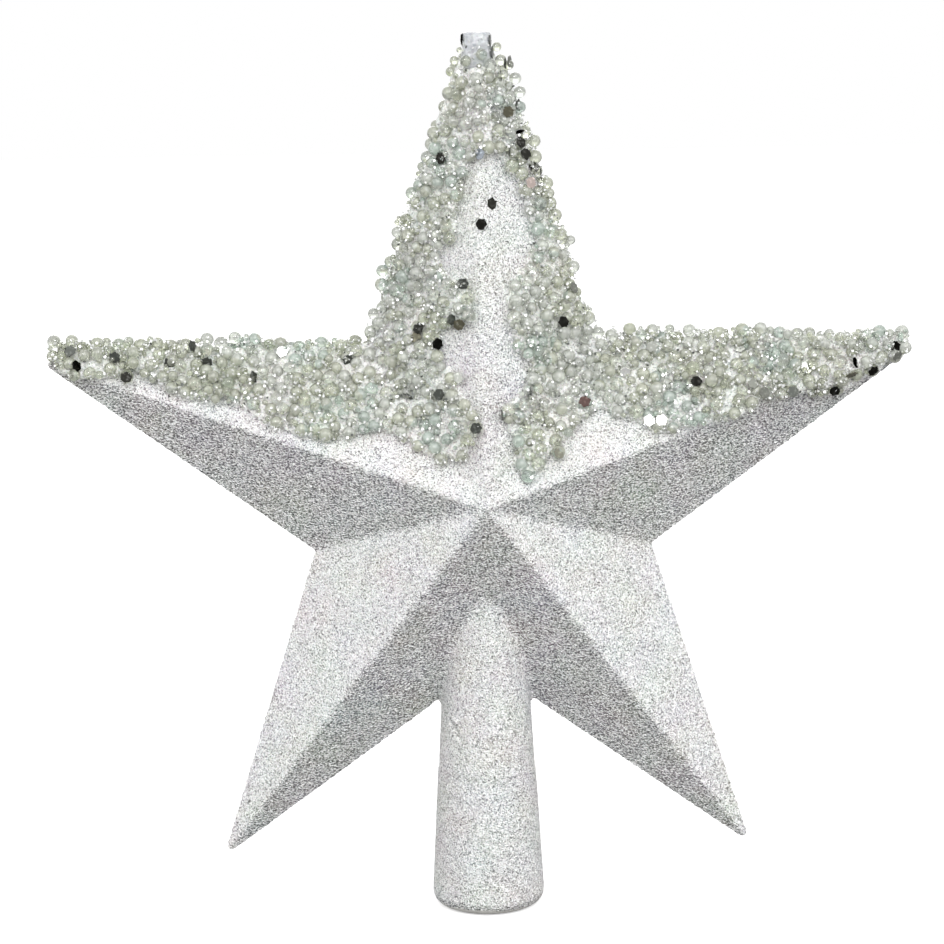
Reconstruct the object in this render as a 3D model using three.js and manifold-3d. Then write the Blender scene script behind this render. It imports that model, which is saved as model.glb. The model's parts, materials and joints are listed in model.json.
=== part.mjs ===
// Glitter tree topper: a five-pointed faceted star, moulded as two hollow halves, on a
// tapered socket that drops over the leader shoot of a tree. Its upper half carries a
// crust of glass beads and loose mirror sequins set in clear glue.
//
// Millimetres, +Z up, the front faces -Y. The origin is the centre of the socket mouth.

import * as THREE from 'three';
import { mergeVertices } from 'three/addons/utils/BufferGeometryUtils.js';
import Module from 'manifold-3d';

const wasm = await Module();
wasm.setup();

// Star
const ARMS = 5;
const TIP_RADIUS = 100;
const NOTCH_RADIUS = 38.65;
const HALF_DEPTH = 19.2;
const STAR_HEIGHT = 92;
const TIP_ROUND = 1.15;

// Moulded halves
const SHELL_WALL = 1.5;
const NECK_WALL = 1.4;
const NECK_TOP_BELOW_CENTRE = 15;
const FIT = 0.3;

// Socket
const SOCKET_RADIUS = 12.38;
const SOCKET_TAPER = 0.0561;
const SOCKET_LENGTH = 80;
const SOCKET_WALL = 1.5;
const MOUTH_RADIUS = 8.5;
const RIM_ROUND = 2.9;
const STEP_HEIGHT = 30.5;
const STEP_DEPTH = 0.3;
const STEP_CONE = 4;

// Steps of a round side, of a rounded corner or of a stretch of curved outline
const ROUND_SIDES = 36;
const CURVE_STEPS = 3;

// Locating pins that line up the halves, and the ribs that cradle the socket
const PIN_RADIUS = 1;
const PIN_REACH = 3;
const POST_RADIUS = 2.2;
const POST_PLACE = 57;
const PIN_SIDES = 10;
const SADDLE_THICKNESS = 1.6;
const SADDLE_WIDTH = 26;
const SADDLE_COUNT = 2;
const SADDLE_SPACING = 6;
const SADDLE_BELOW_TOP = 3;

// How far a cut overruns a face, and how deep a pin roots in its post
const OVERRUN = 1;

// Bead crust
const BED_THICKNESS = 2.2;
const CRUST_RIM = 2.9;
const CRUST_SHORT = 4.1;
const BEAD_RADIUS = 1.45;
const BEAD_VARIATION = 0.2;
const BEAD_PITCH = 6.2;
const BEAD_SINK = 0.6;
const RIM_BEAD_PITCH = 4.6;
const RIM_BEAD_LIFT = 0.4;
const CROWN_REACH = 7;
const CROWN_CAP = 1.1;
const CROWN_THICKNESS = 2.2;
const CROWN_FLAKES = 7;

// Mirror sequins
const SEQUIN_ACROSS = 2.4;
const SEQUIN_THICKNESS = 0.3;
const SEQUIN_SEAT = 0.4;

// Inner and lower edges of the crust, from the top of the upright arm down to the middle and
// out along the side arm. Places here and below are in hundredths of the tip radius.
const LEFT_EDGE = [
  [0, 74], [-4, 65], [-8, 53], [-3, 46], [-2, 39], [-9, 34], [-6, 27], [-1, 18], [-4, 10],
  [-14, 11], [-24, 16], [-37, 14], [-49, 19], [-62, 22], [-73, 28], [-87, 26],
];
const RIGHT_EDGE = [
  [0, 75], [8, 67], [11, 56], [6, 45], [6, 36], [10, 29], [4, 20], [8, 6], [13, 9],
  [19, 15], [27, 19], [37, 14], [50, 16], [64, 21], [76, 20], [90, 26],
];

// Sequins that lie clear among the beads: place in the plane of the star, turn in degrees.
const FRONT_SEQUINS = [
  [-8, 72, 5], [7, 76, 20], [3, 88, 0], [9, 66, 40], [-10, 57, 15], [-8, 46, 0],
  [-14, 36, 30], [-6, 36, 10], [-10, 24, 25], [-5, 17, 0], [16, 44, 30], [16, 36, 0],
  [21, 21, 15], [12, 13, 45], [9, 23, 10], [-84, 28, 20], [-76, 28, 30], [-62, 27, 10],
  [-49, 25, 0], [-42, 28, 15], [45, 24, 0], [60, 23, 15], [76, 25, 20], [85, 28, 0],
  [34, 18, 30],
];
const REAR_SEQUINS = [
  [-7, 74, 10], [13, 50, 30], [-12, 40, 0], [15, 30, 20], [-20, 22, 45], [26, 24, 5],
  [-52, 24, 15], [62, 25, 35],
];

// Values worked out from the sizes above
const HALF_STEP = Math.PI / ARMS;
const EDGE_LENGTH = Math.sqrt(
  TIP_RADIUS ** 2 + NOTCH_RADIUS ** 2 - 2 * TIP_RADIUS * NOTCH_RADIUS * Math.cos(HALF_STEP));
const EDGE_DISTANCE = (TIP_RADIUS * NOTCH_RADIUS * Math.sin(HALF_STEP)) / EDGE_LENGTH;
const EDGE_ANGLE = Math.acos(EDGE_DISTANCE / TIP_RADIUS);
const FACET_DISTANCE = (HALF_DEPTH * EDGE_DISTANCE) / Math.hypot(HALF_DEPTH, EDGE_DISTANCE);
const TIP_HALF_ANGLE = Math.asin(EDGE_DISTANCE / TIP_RADIUS);
const ROUNDED_TIP = TIP_RADIUS - TIP_ROUND * (1 / Math.sin(TIP_HALF_ANGLE) - 1);
const SEAM = FIT / 2;
const BED_TOP = FIT + BED_THICKNESS;
const SEAT_FLOOR = BED_TOP - SEQUIN_SEAT;
const CROWN_BASE = TIP_RADIUS - CROWN_REACH;
const CRUST_END = TIP_RADIUS * Math.sin(2 * HALF_STEP) - CRUST_SHORT;
const CROWN_TOP = ROUNDED_TIP + CROWN_CAP;
const HEX_TURN = 60;
const BIG = 3 * TIP_RADIUS;

/** Angle of a tip in the plane of the star; tip 0 points up. */
const tipAngle = (arm) => Math.PI / 2 + 2 * arm * HALF_STEP;

/** Scale that moves every facet outward by a distance, or inward by a negative one. */
const offsetScale = (distance) => 1 + distance / FACET_DISTANCE;

/** Place given in hundredths of the tip radius, in millimetres. */
const inMillimetres = ([x, z, ...turn]) => (
  [(x * TIP_RADIUS) / 100, (z * TIP_RADIUS) / 100, ...turn]);

/** Seeded random numbers from 0 to 1. */
function randomSource(seed) {
  let state = seed;
  return () => {
    state = (state * 1664525 + 1013904223) % 4294967296;
    return state / 4294967296;
  };
}

/** Closed three.js geometry as a solid. */
function solid(geometry) {
  const bare = geometry.clone();
  bare.deleteAttribute('normal');
  bare.deleteAttribute('uv');
  const merged = mergeVertices(bare, 1e-4);
  return new wasm.Manifold(new wasm.Mesh({
    numProp: 3,
    vertProperties: new Float32Array(merged.getAttribute('position').array),
    triVerts: new Uint32Array(merged.getIndex().array),
  }));
}

/** Solid as a three.js geometry. */
function geometryOf(body) {
  const mesh = body.getMesh();
  const geometry = new THREE.BufferGeometry();
  geometry.setAttribute('position', new THREE.BufferAttribute(mesh.vertProperties, 3));
  geometry.setIndex(new THREE.BufferAttribute(mesh.triVerts, 1));
  const flat = geometry.toNonIndexed();
  flat.computeVertexNormals();
  return flat;
}

/** Box between two corners. */
function boxBetween(low, high) {
  const size = new THREE.Vector3().subVectors(high, low);
  const middle = new THREE.Vector3().addVectors(low, high).multiplyScalar(0.5);
  const box = new THREE.BoxGeometry(size.x, size.y, size.z);
  return solid(box.translate(middle.x, middle.y, middle.z));
}

/** Body of revolution about the Z axis from a closed profile of [radius, height] points. */
function turned(profile) {
  const points = profile.map(([radius, height]) => new THREE.Vector2(radius, height));
  const closed = [...points, points[0].clone()];
  return solid(new THREE.LatheGeometry(closed, ROUND_SIDES).rotateX(Math.PI / 2));
}

/** Prism of a flat shape in the plane of the star, as thick as is needed on both sides. */
function starPrism(shape) {
  const prism = new THREE.ExtrudeGeometry(
    shape, { depth: BIG, bevelEnabled: false, curveSegments: CURVE_STEPS });
  prism.translate(0, 0, -BIG / 2);
  return solid(prism.rotateX(Math.PI / 2).translate(0, 0, STAR_HEIGHT));
}

/** Outline of the star with rounded tips, its edges moved outward by a distance. */
function starOutline(outward) {
  const scale = 1 + outward / EDGE_DISTANCE;
  const centreRadius = TIP_RADIUS * scale - TIP_ROUND / Math.sin(TIP_HALF_ANGLE);
  const turn = Math.PI / 2 - TIP_HALF_ANGLE;
  const shape = new THREE.Shape();
  for (let arm = 0; arm < ARMS; arm += 1) {
    const angle = tipAngle(arm);
    const x = centreRadius * Math.cos(angle);
    const z = centreRadius * Math.sin(angle);
    shape.absarc(x, z, TIP_ROUND, angle - turn, angle + turn);
    const notch = angle + HALF_STEP;
    shape.lineTo(NOTCH_RADIUS * scale * Math.cos(notch), NOTCH_RADIUS * scale * Math.sin(notch));
  }
  return shape;
}

/** Faceted star with sharp tips, its facets moved outward by a distance. */
function facetedStar(outward) {
  const scale = offsetScale(outward);
  const rim = [];
  for (let corner = 0; corner < 2 * ARMS; corner += 1) {
    const radius = (corner % 2 === 0 ? TIP_RADIUS : NOTCH_RADIUS) * scale;
    const angle = Math.PI / 2 + corner * HALF_STEP;
    rim.push([radius * Math.cos(angle), 0, radius * Math.sin(angle)]);
  }
  const corners = [...rim, [0, -HALF_DEPTH * scale, 0], [0, HALF_DEPTH * scale, 0]];
  const front = rim.length;
  const rear = front + 1;
  const faces = [];
  rim.forEach((_, corner) => {
    const next = (corner + 1) % rim.length;
    faces.push(corner, next, front, next, corner, rear);
  });
  const geometry = new THREE.BufferGeometry();
  geometry.setAttribute('position', new THREE.Float32BufferAttribute(corners.flat(), 3));
  geometry.setIndex(faces);
  return solid(geometry.translate(0, 0, STAR_HEIGHT));
}

/** Point and outward normal of a facet above a place in the plane of the star. */
function onFacet(x, z, outward, side) {
  const scale = offsetScale(outward);
  const turn = 2 * HALF_STEP;
  const fromTop = Math.atan2(z, x) - Math.PI / 2;
  const nearest = Math.round(fromTop / turn) * turn;
  const edge = Math.PI / 2 + nearest + (fromTop >= nearest ? 1 : -1) * EDGE_ANGLE;
  const along = x * Math.cos(edge) + z * Math.sin(edge);
  const depth = HALF_DEPTH * (scale - along / EDGE_DISTANCE);
  const slope = HALF_DEPTH / EDGE_DISTANCE;
  return {
    point: new THREE.Vector3(x, side * depth, z + STAR_HEIGHT),
    normal: new THREE.Vector3(slope * Math.cos(edge), side, slope * Math.sin(edge)).normalize(),
  };
}

/** Outer radius of the tapered socket at a height. */
const socketRadius = (height) => SOCKET_RADIUS - SOCKET_TAPER * height;

/** Outer radius of the moulded neck at a height. */
const neckRadius = (height) => socketRadius(height) - STEP_DEPTH;

/** Outer radius of the part of the socket that sits inside the neck. */
const spigotRadius = (height) => neckRadius(height) - NECK_WALL - FIT;

/** Cone about the Z axis whose radius follows a rule. */
function coneBetween(low, high, radiusAt, grow = 0) {
  return turned([[0, low], [radiusAt(low) + grow, low], [radiusAt(high) + grow, high], [0, high]]);
}

/** The half of space in front of the seam (side -1) or behind it (side 1). */
function halfSpace(side) {
  const near = side < 0 ? -BIG : SEAM;
  const far = side < 0 ? -SEAM : BIG;
  return boxBetween(new THREE.Vector3(-BIG, near, -BIG), new THREE.Vector3(BIG, far, BIG));
}

/** Upright round bar through the star at a locating pin, from one depth to another. */
function barAt(arm, radius, from, to) {
  const bar = new THREE.CylinderGeometry(radius, radius, to - from, PIN_SIDES);
  const angle = tipAngle(arm);
  return solid(bar.translate(
    POST_PLACE * Math.cos(angle), (from + to) / 2, STAR_HEIGHT + POST_PLACE * Math.sin(angle)));
}

/** Rib across the inside of the star, hollowed to cradle the socket. */
function saddleRib(height) {
  const low = new THREE.Vector3(-SADDLE_WIDTH / 2, -HALF_DEPTH, height);
  const high = new THREE.Vector3(SADDLE_WIDTH / 2, HALF_DEPTH, height + SADDLE_THICKNESS);
  const bore = coneBetween(
    height - OVERRUN, height + SADDLE_THICKNESS + OVERRUN, spigotRadius, FIT);
  return boxBetween(low, high).subtract(bore);
}

/** One moulded half of the star with its half of the neck. */
function shell(side) {
  const neckTop = STAR_HEIGHT - NECK_TOP_BELOW_CENTRE;
  const star = facetedStar(0).intersect(starPrism(starOutline(0)));
  const neck = coneBetween(STEP_HEIGHT + FIT, neckTop, neckRadius);
  const bore = coneBetween(STEP_HEIGHT - OVERRUN, neckTop, neckRadius, -NECK_WALL);
  const hollow = facetedStar(-SHELL_WALL).add(bore);
  let body = star.add(neck).subtract(hollow);
  const lining = facetedStar(-SHELL_WALL / 2);
  for (let rib = 0; rib < SADDLE_COUNT; rib += 1) {
    const height = SOCKET_LENGTH - SADDLE_BELOW_TOP - rib * SADDLE_SPACING;
    body = body.add(saddleRib(height).intersect(lining));
  }
  for (let arm = 0; arm < ARMS; arm += 1) {
    body = body.add(barAt(arm, POST_RADIUS, -HALF_DEPTH, HALF_DEPTH).intersect(lining));
  }
  body = body.intersect(halfSpace(side));
  for (let arm = 0; arm < ARMS; arm += 1) {
    body = side < 0
      ? body.add(barAt(arm, PIN_RADIUS, -OVERRUN, PIN_REACH))
      : body.subtract(barAt(arm, PIN_RADIUS + FIT, -OVERRUN, PIN_REACH + FIT));
  }
  return body;
}

/** The open socket: a rounded rim, a tapered skirt and a spigot that fills the neck. */
function socket() {
  const profile = [[MOUTH_RADIUS, 0]];
  for (let step = 0; step <= 4; step += 1) {
    const turn = (step / 4) * (Math.PI / 2);
    const centre = socketRadius(RIM_ROUND) - RIM_ROUND;
    profile.push([centre + RIM_ROUND * Math.sin(turn), RIM_ROUND * (1 - Math.cos(turn))]);
  }
  profile.push([socketRadius(STEP_HEIGHT), STEP_HEIGHT]);
  profile.push([spigotRadius(STEP_HEIGHT), STEP_HEIGHT]);
  profile.push([spigotRadius(SOCKET_LENGTH), SOCKET_LENGTH]);
  profile.push([spigotRadius(SOCKET_LENGTH) - SOCKET_WALL, SOCKET_LENGTH]);
  profile.push([spigotRadius(STEP_HEIGHT) - SOCKET_WALL, STEP_HEIGHT]);
  const coneStart = STEP_HEIGHT - STEP_CONE;
  profile.push([socketRadius(coneStart) - SOCKET_WALL, coneStart]);
  profile.push([socketRadius(RIM_ROUND) - SOCKET_WALL, RIM_ROUND]);
  profile.push([MOUTH_RADIUS, SOCKET_WALL]);
  return turned(profile);
}

/** Flat shape of the crust on one side: its inner and lower edge, closed outside the star. */
function crustShape(edge, hand) {
  const [start, ...rest] = edge.map(inMillimetres).map(([x, z]) => new THREE.Vector2(x, z));
  const shape = new THREE.Shape();
  shape.moveTo(0, CROWN_BASE - FIT);
  shape.lineTo(start.x, start.y);
  shape.splineThru(rest);
  shape.lineTo(hand * CRUST_END, rest.at(-1).y);
  shape.lineTo(hand * CRUST_END, CROWN_BASE - FIT);
  return shape;
}

/** Whether a flat point lies inside a closed outline. */
function isInside(x, z, outline) {
  let inside = false;
  outline.forEach((a, index) => {
    const b = outline[(index + 1) % outline.length];
    if ((a.y > z) !== (b.y > z) && x < ((b.x - a.x) * (z - a.y)) / (b.y - a.y) + a.x) {
      inside = !inside;
    }
  });
  return inside;
}

/** Glass bead centred at a point. */
function bead(point, radius, random) {
  const ball = new THREE.IcosahedronGeometry(radius, 0);
  ball.rotateX(random() * Math.PI).rotateY(random() * Math.PI);
  return solid(ball.translate(point.x, point.y, point.z));
}

/** Places of a side's sequins. */
const sequinsOn = (side) => (side < 0 ? FRONT_SEQUINS : REAR_SEQUINS).map(inMillimetres);

/** Hexagonal plate whose underside lies a distance outward of a facet. */
function hexPlate([x, z, turn], outward, side, across, thickness) {
  const seat = onFacet(x, z, outward, side);
  const corner = across / Math.sqrt(3);
  const plate = new THREE.CylinderGeometry(corner, corner, thickness, 6);
  plate.rotateY(THREE.MathUtils.degToRad(turn)).translate(0, thickness / 2, 0);
  const up = new THREE.Vector3(0, 1, 0);
  plate.applyQuaternion(new THREE.Quaternion().setFromUnitVectors(up, seat.normal));
  return plate.translate(seat.point.x, seat.point.y, seat.point.z);
}

/** Mirror sequin lying in its seat. */
const sequin = (place, side) => (
  hexPlate(place, SEAT_FLOOR + FIT, side, SEQUIN_ACROSS, SEQUIN_THICKNESS));

/** Seats of a side's sequins, open outward. */
const sequinSeats = (side) => sequinsOn(side).map((place) => (
  solid(hexPlate(place, SEAT_FLOOR, side, SEQUIN_ACROSS + 2 * FIT, 4 * BEAD_RADIUS))));

/** Beads scattered over a flat shape, clear of the sequins. */
function scatteredBeads(shape, side, random) {
  const outline = shape.getPoints(CURVE_STEPS);
  const rim = starOutline(CRUST_RIM).getPoints(CURVE_STEPS);
  const rowPitch = BEAD_PITCH * Math.sin(Math.PI / 3);
  const rows = Math.ceil(CROWN_BASE / rowPitch);
  const columns = Math.ceil(CRUST_END / BEAD_PITCH);
  const clearance = SEQUIN_ACROSS / Math.sqrt(3) + BEAD_RADIUS + FIT;
  const beads = [];
  for (let row = 0; row <= rows; row += 1) {
    for (let column = -columns; column <= columns; column += 1) {
      const x = (column + (row % 2) / 2 + (random() - 0.5) * 0.5) * BEAD_PITCH;
      const z = (row + (random() - 0.5) * 0.5) * rowPitch;
      const radius = BEAD_RADIUS * (1 + (random() - 0.5) * 2 * BEAD_VARIATION);
      const free = sequinsOn(side).every(([sx, sz]) => Math.hypot(sx - x, sz - z) > clearance);
      if (free && isInside(x, z, outline) && isInside(x, z, rim)) {
        const seat = onFacet(x, z, BED_TOP - BEAD_SINK, side);
        beads.push(bead(seat.point, radius, random));
      }
    }
  }
  return beads;
}

/** Beads in a row along the crest of the upper edges, left (-1) or right (1) of the middle. */
function rimBeads(hand, random) {
  const outward = 1 + (CRUST_RIM + RIM_BEAD_LIFT) / EDGE_DISTANCE;
  const corner = (radius, angle) => new THREE.Vector2(
    outward * radius * Math.cos(angle), outward * radius * Math.sin(angle));
  const notch = corner(NOTCH_RADIUS, Math.PI / 2 - hand * HALF_STEP);
  const tips = [0, 2].map((steps) => corner(TIP_RADIUS, Math.PI / 2 - hand * steps * HALF_STEP));
  const beads = [];
  for (const tip of tips) {
    const length = tip.distanceTo(notch);
    for (let run = RIM_BEAD_PITCH / 2; run < length; run += RIM_BEAD_PITCH) {
      const place = notch.clone().lerp(tip, run / length);
      const radius = BEAD_RADIUS * (1 + (random() - 0.5) * 2 * BEAD_VARIATION);
      const lift = (random() - 0.5) * 2 * BEAD_SINK;
      const point = new THREE.Vector3(place.x, 2 * lift, STAR_HEIGHT + place.y + lift);
      if (Math.abs(place.x) < CRUST_END && place.y < CROWN_BASE) {
        beads.push(bead(point, radius, random));
      }
    }
  }
  return beads;
}

/** Glue bed that wraps over the rim of the star with the beads standing in it, one body. */
function crust(edge, hand, seed) {
  const random = randomSource(seed);
  const shape = crustShape(edge, hand);
  const bed = facetedStar(BED_TOP)
    .intersect(starPrism(starOutline(CRUST_RIM)))
    .intersect(starPrism(shape));
  const beads = [
    ...scatteredBeads(shape, -1, random),
    ...scatteredBeads(shape, 1, random),
    ...rimBeads(hand, random),
  ];
  const near = new THREE.Vector3(hand < 0 ? -BIG : SEAM, -BIG, 0);
  const far = new THREE.Vector3(hand < 0 ? -SEAM : BIG, BIG, STAR_HEIGHT + CROWN_BASE - FIT);
  return wasm.Manifold.union([bed, ...beads])
    .subtract(wasm.Manifold.union([facetedStar(FIT), ...sequinSeats(-1), ...sequinSeats(1)]))
    .intersect(boxBetween(near, far));
}

/** Clump of beads and flakes on the top tip, cut flat above. */
function crown() {
  const random = randomSource(5);
  let body = facetedStar(FIT + CROWN_THICKNESS).intersect(starPrism(starOutline(CRUST_RIM)));
  for (let flake = 0; flake < CROWN_FLAKES; flake += 1) {
    const side = flake % 2 === 0 ? -1 : 1;
    const place = [
      (random() - 0.5) * 2 * SEQUIN_ACROSS,
      CROWN_BASE + SEQUIN_ACROSS / 2 + random() * SEQUIN_ACROSS,
      random() * HEX_TURN,
    ];
    body = body.add(solid(
      hexPlate(place, CROWN_THICKNESS, side, SEQUIN_ACROSS, 2 * SEQUIN_THICKNESS)));
  }
  const low = new THREE.Vector3(-BIG, -BIG, STAR_HEIGHT + CROWN_BASE);
  const high = new THREE.Vector3(BIG, BIG, STAR_HEIGHT + CROWN_TOP);
  return body
    .subtract(facetedStar(FIT).intersect(starPrism(starOutline(FIT))))
    .intersect(boxBetween(low, high));
}

/** Finish of a sub-part. */
const finish = (color, roughness, metalness) => (
  new THREE.MeshStandardMaterial({ color, roughness, metalness }));

const topper = new THREE.Group();

/** Adds a named sub-part to the topper. */
function addPart(name, geometry, material) {
  const mesh = new THREE.Mesh(geometry, material);
  mesh.name = name;
  topper.add(mesh);
}

addPart('front_shell', geometryOf(shell(-1)), finish('#d9dade', 0.45, 0.35));
addPart('rear_shell', geometryOf(shell(1)), finish('#d3d4d8', 0.45, 0.35));
addPart('socket_sleeve', geometryOf(socket()), finish('#cfd0d3', 0.5, 0.3));
addPart('bead_crust_left', geometryOf(crust(LEFT_EDGE, -1, 11)), finish('#c3c8bd', 0.15, 0));
addPart('bead_crust_right', geometryOf(crust(RIGHT_EDGE, 1, 12)), finish('#c5cac0', 0.15, 0));
addPart('crown_cluster', geometryOf(crown()), finish('#cdd0ca', 0.2, 0.2));
for (const [side, place] of [[-1, 'front'], [1, 'rear']]) {
  sequinsOn(side).forEach((seat, index) => {
    const number = String(index + 1).padStart(2, '0');
    addPart(`mirror_sequin_${place}_${number}`, sequin(seat, side), finish('#8f9298', 0.08, 1));
  });
}

export default topper;
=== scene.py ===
import json
import math

import bmesh
import bpy
import numpy as np
from bpy.props import FloatProperty, FloatVectorProperty, IntProperty, PointerProperty
from mathutils import Matrix, Vector

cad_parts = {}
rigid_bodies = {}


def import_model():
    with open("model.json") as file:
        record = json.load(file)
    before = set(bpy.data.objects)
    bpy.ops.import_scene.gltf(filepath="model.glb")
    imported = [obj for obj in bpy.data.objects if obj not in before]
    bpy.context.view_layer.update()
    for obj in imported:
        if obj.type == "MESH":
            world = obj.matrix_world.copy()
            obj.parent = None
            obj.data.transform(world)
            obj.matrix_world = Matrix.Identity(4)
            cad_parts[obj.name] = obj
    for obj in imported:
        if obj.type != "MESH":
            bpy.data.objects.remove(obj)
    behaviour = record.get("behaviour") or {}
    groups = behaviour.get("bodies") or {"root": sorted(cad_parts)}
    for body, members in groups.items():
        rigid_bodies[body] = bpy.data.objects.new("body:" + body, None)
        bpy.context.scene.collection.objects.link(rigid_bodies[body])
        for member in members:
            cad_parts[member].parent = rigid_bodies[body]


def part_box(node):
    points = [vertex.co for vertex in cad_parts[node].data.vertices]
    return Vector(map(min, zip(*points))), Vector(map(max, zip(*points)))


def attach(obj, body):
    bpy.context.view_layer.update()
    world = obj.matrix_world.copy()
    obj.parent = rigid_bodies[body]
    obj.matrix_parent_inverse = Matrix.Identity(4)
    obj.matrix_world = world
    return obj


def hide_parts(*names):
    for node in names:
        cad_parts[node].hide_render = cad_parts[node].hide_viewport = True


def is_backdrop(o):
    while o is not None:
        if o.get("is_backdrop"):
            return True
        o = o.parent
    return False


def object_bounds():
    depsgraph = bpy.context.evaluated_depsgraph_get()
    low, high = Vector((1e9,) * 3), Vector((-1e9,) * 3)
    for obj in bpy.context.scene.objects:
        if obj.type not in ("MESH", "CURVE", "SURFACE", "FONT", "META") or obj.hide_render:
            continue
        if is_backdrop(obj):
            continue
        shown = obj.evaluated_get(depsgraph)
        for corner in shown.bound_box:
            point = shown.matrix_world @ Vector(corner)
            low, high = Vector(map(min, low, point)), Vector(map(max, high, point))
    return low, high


bl_info = {
    "name": "Glitter Tree Topper",
    "version": (1, 0, 0),
    "blender": (4, 5, 0),
    "location": "View3D > Sidebar > Topper",
    "description": "Builds a glittered star topper with a crust of glass beads and mirror sequins",
    "category": "Object",
}

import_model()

BODY = "root"
MM = 0.001
ARMS = 5
HALF_STEP = math.pi / ARMS
SIDES = {"front": -1, "rear": 1}

# Moulded star and socket, in millimetres where nothing else is said
SHARP_RIM = 0.8  # how near the seam the rim stays sharp
RIM_FADE = 1.6  # over which ridges turn from sharp to soft
TIP_BLUNT = 2.2  # length of the rounded end of an arm
SEAM = 0.04  # half the gap between both halves
NECK_LAP = 0.6  # how far the neck hangs past the step
NECK_SIDES = 96
SOCKET_GRAIN = 0.8  # lumps of the socket against those of the star
SMOOTH_RIM = 0.6  # height over the mouth at which the relief starts
BARE_RIM = 1.25  # height of the strip that the glitter leaves bare
LUMP_SHARE = 1.6  # weight of the wide lumps in the relief
RELIEF_LIMIT = 1.3  # greatest relief against the usual depth
JITTER = 0.5  # sideways scatter of the lumps against their width

# Crust: tries for each kind of bead on one side, and how they lie
LARGE_TRIES = 30000
SMALL_TRIES = 7000
SEED_TRIES = 9000
FLAKE_TRIES = 38000
DROP_TRIES = 60000
BEAD_ROUNDS = 3  # fineness of a large bead
MILKY_SHARE = 0.6
SUNK = 0.92  # middle of a bead over its facet, against its radius
DROP_STEP = 1.1  # from drop to drop of the glue, in millimetres
GLUE_SINK = 0.4  # underside of the glue under its facet, in millimetres
FLAKE_THICKNESS = 0.12  # against its width, as is the next one
FLAKE_BEVEL = 0.02

# Sequins, in millimetres where nothing else is said
SEQUIN_BEVEL = 0.03
SEQUIN_POINTS = 30  # round the outline
SEQUIN_WEAR = 0.2  # greatest loss of the outline, as a share
UNEVEN = 0.12  # how unevenly they lie
RIDGE_LOSS = 0.1  # height that the ridges lose as they are softened
BITE = 0.08  # how deep one sits in what carries it

# Stage, in metres
SPARK_LAMP = 0.15
SIDE_LAMP = 0.7
LAMP_AIM = (0, 0, 0.1)

# Crust of beads, in millimetres in the plane of the star, measured from its centre. Each
# edge runs from the top of the bare stripe down to the middle and out along the side arm.
LEFT_EDGE = [
    (3, 74), (-2, 72), (-4, 64), (-5, 56), (-9, 52), (-7, 48), (-2, 46), (-2, 39), (-8, 37),
    (-9, 32), (-6, 27), (-2, 20), (-1, 16), (-4, 10), (-10, 9), (-15, 12), (-19, 15), (-24, 16),
    (-31, 14), (-37, 14), (-43, 16), (-49, 19), (-53, 22), (-60, 22), (-66, 24), (-73, 28),
    (-81, 27), (-87, 27), (-93, 30),
]
RIGHT_EDGE = [
    (3, 74), (8, 67), (10, 60), (12, 55), (7, 47), (5, 43), (6, 36), (7, 32), (10, 29), (7, 23),
    (3, 20), (6, 14), (7, 7), (9, 5), (13, 9), (19, 15), (25, 19), (30, 17), (37, 14), (46, 15),
    (55, 17), (60, 20), (68, 21), (76, 20), (82, 23), (92, 29),
]
# Closes both edges well outside the star.
BEYOND_SIDE = 110
BEYOND_TOP = 120

# Sequins on the front that stand for nodes of the model, in the order of the nodes: place in
# the plane of the star in millimetres, turn and lean in degrees, tone, which apart from silver
# is a painted reflection, and whether beads lie over it. A lean above 0 is about the sequin's
# upright axis, one below 0 about its level axis.
FRONT_SEQUINS = [
    (-8, 72.5, 5, 0, "dark", False), (9, 75.5, 20, 0, "dark", False),
    (5, 89.5, 0, 60, "slate", False), (11, 67, 40, 0, "blush", False),
    (-9.5, 56.5, 15, 0, "silver", True), (-4, 46.5, 0, 20, "slate", True),
    (-13.5, 37, 30, 0, "dark", False), (-5, 38, 10, 0, "olive", True),
    (-10.5, 23, 25, 40, "silver", False), (-2, 17, 0, 25, "slate", False),
    (20, 44.5, 30, 25, "grey", False), (17.5, 37.5, 0, 0, "dark", False),
    (21.5, 21, 15, 0, "rose", False), (15.5, 11, 45, 20, "moss", False),
    (10, 23.5, 10, 65, "slate", True), (-87.5, 33, 20, 0, "slate", False),
    (-75.5, 27.5, 30, 20, "dark", False), (-61.5, 33.5, 10, 60, "slate", False),
    (-48.5, 27, 0, 50, "slate", True), (-42.5, 32, 15, 0, "silver", False),
    (45.5, 24.5, 0, 0, "dark", False), (60, 22, 15, 0, "grey", False),
    (75.5, 21.5, 20, 0, "dark", False), (84, 25.5, 0, -8, "dark", False),
    (35, 17, 30, 0, "silver", False),
]
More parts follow.
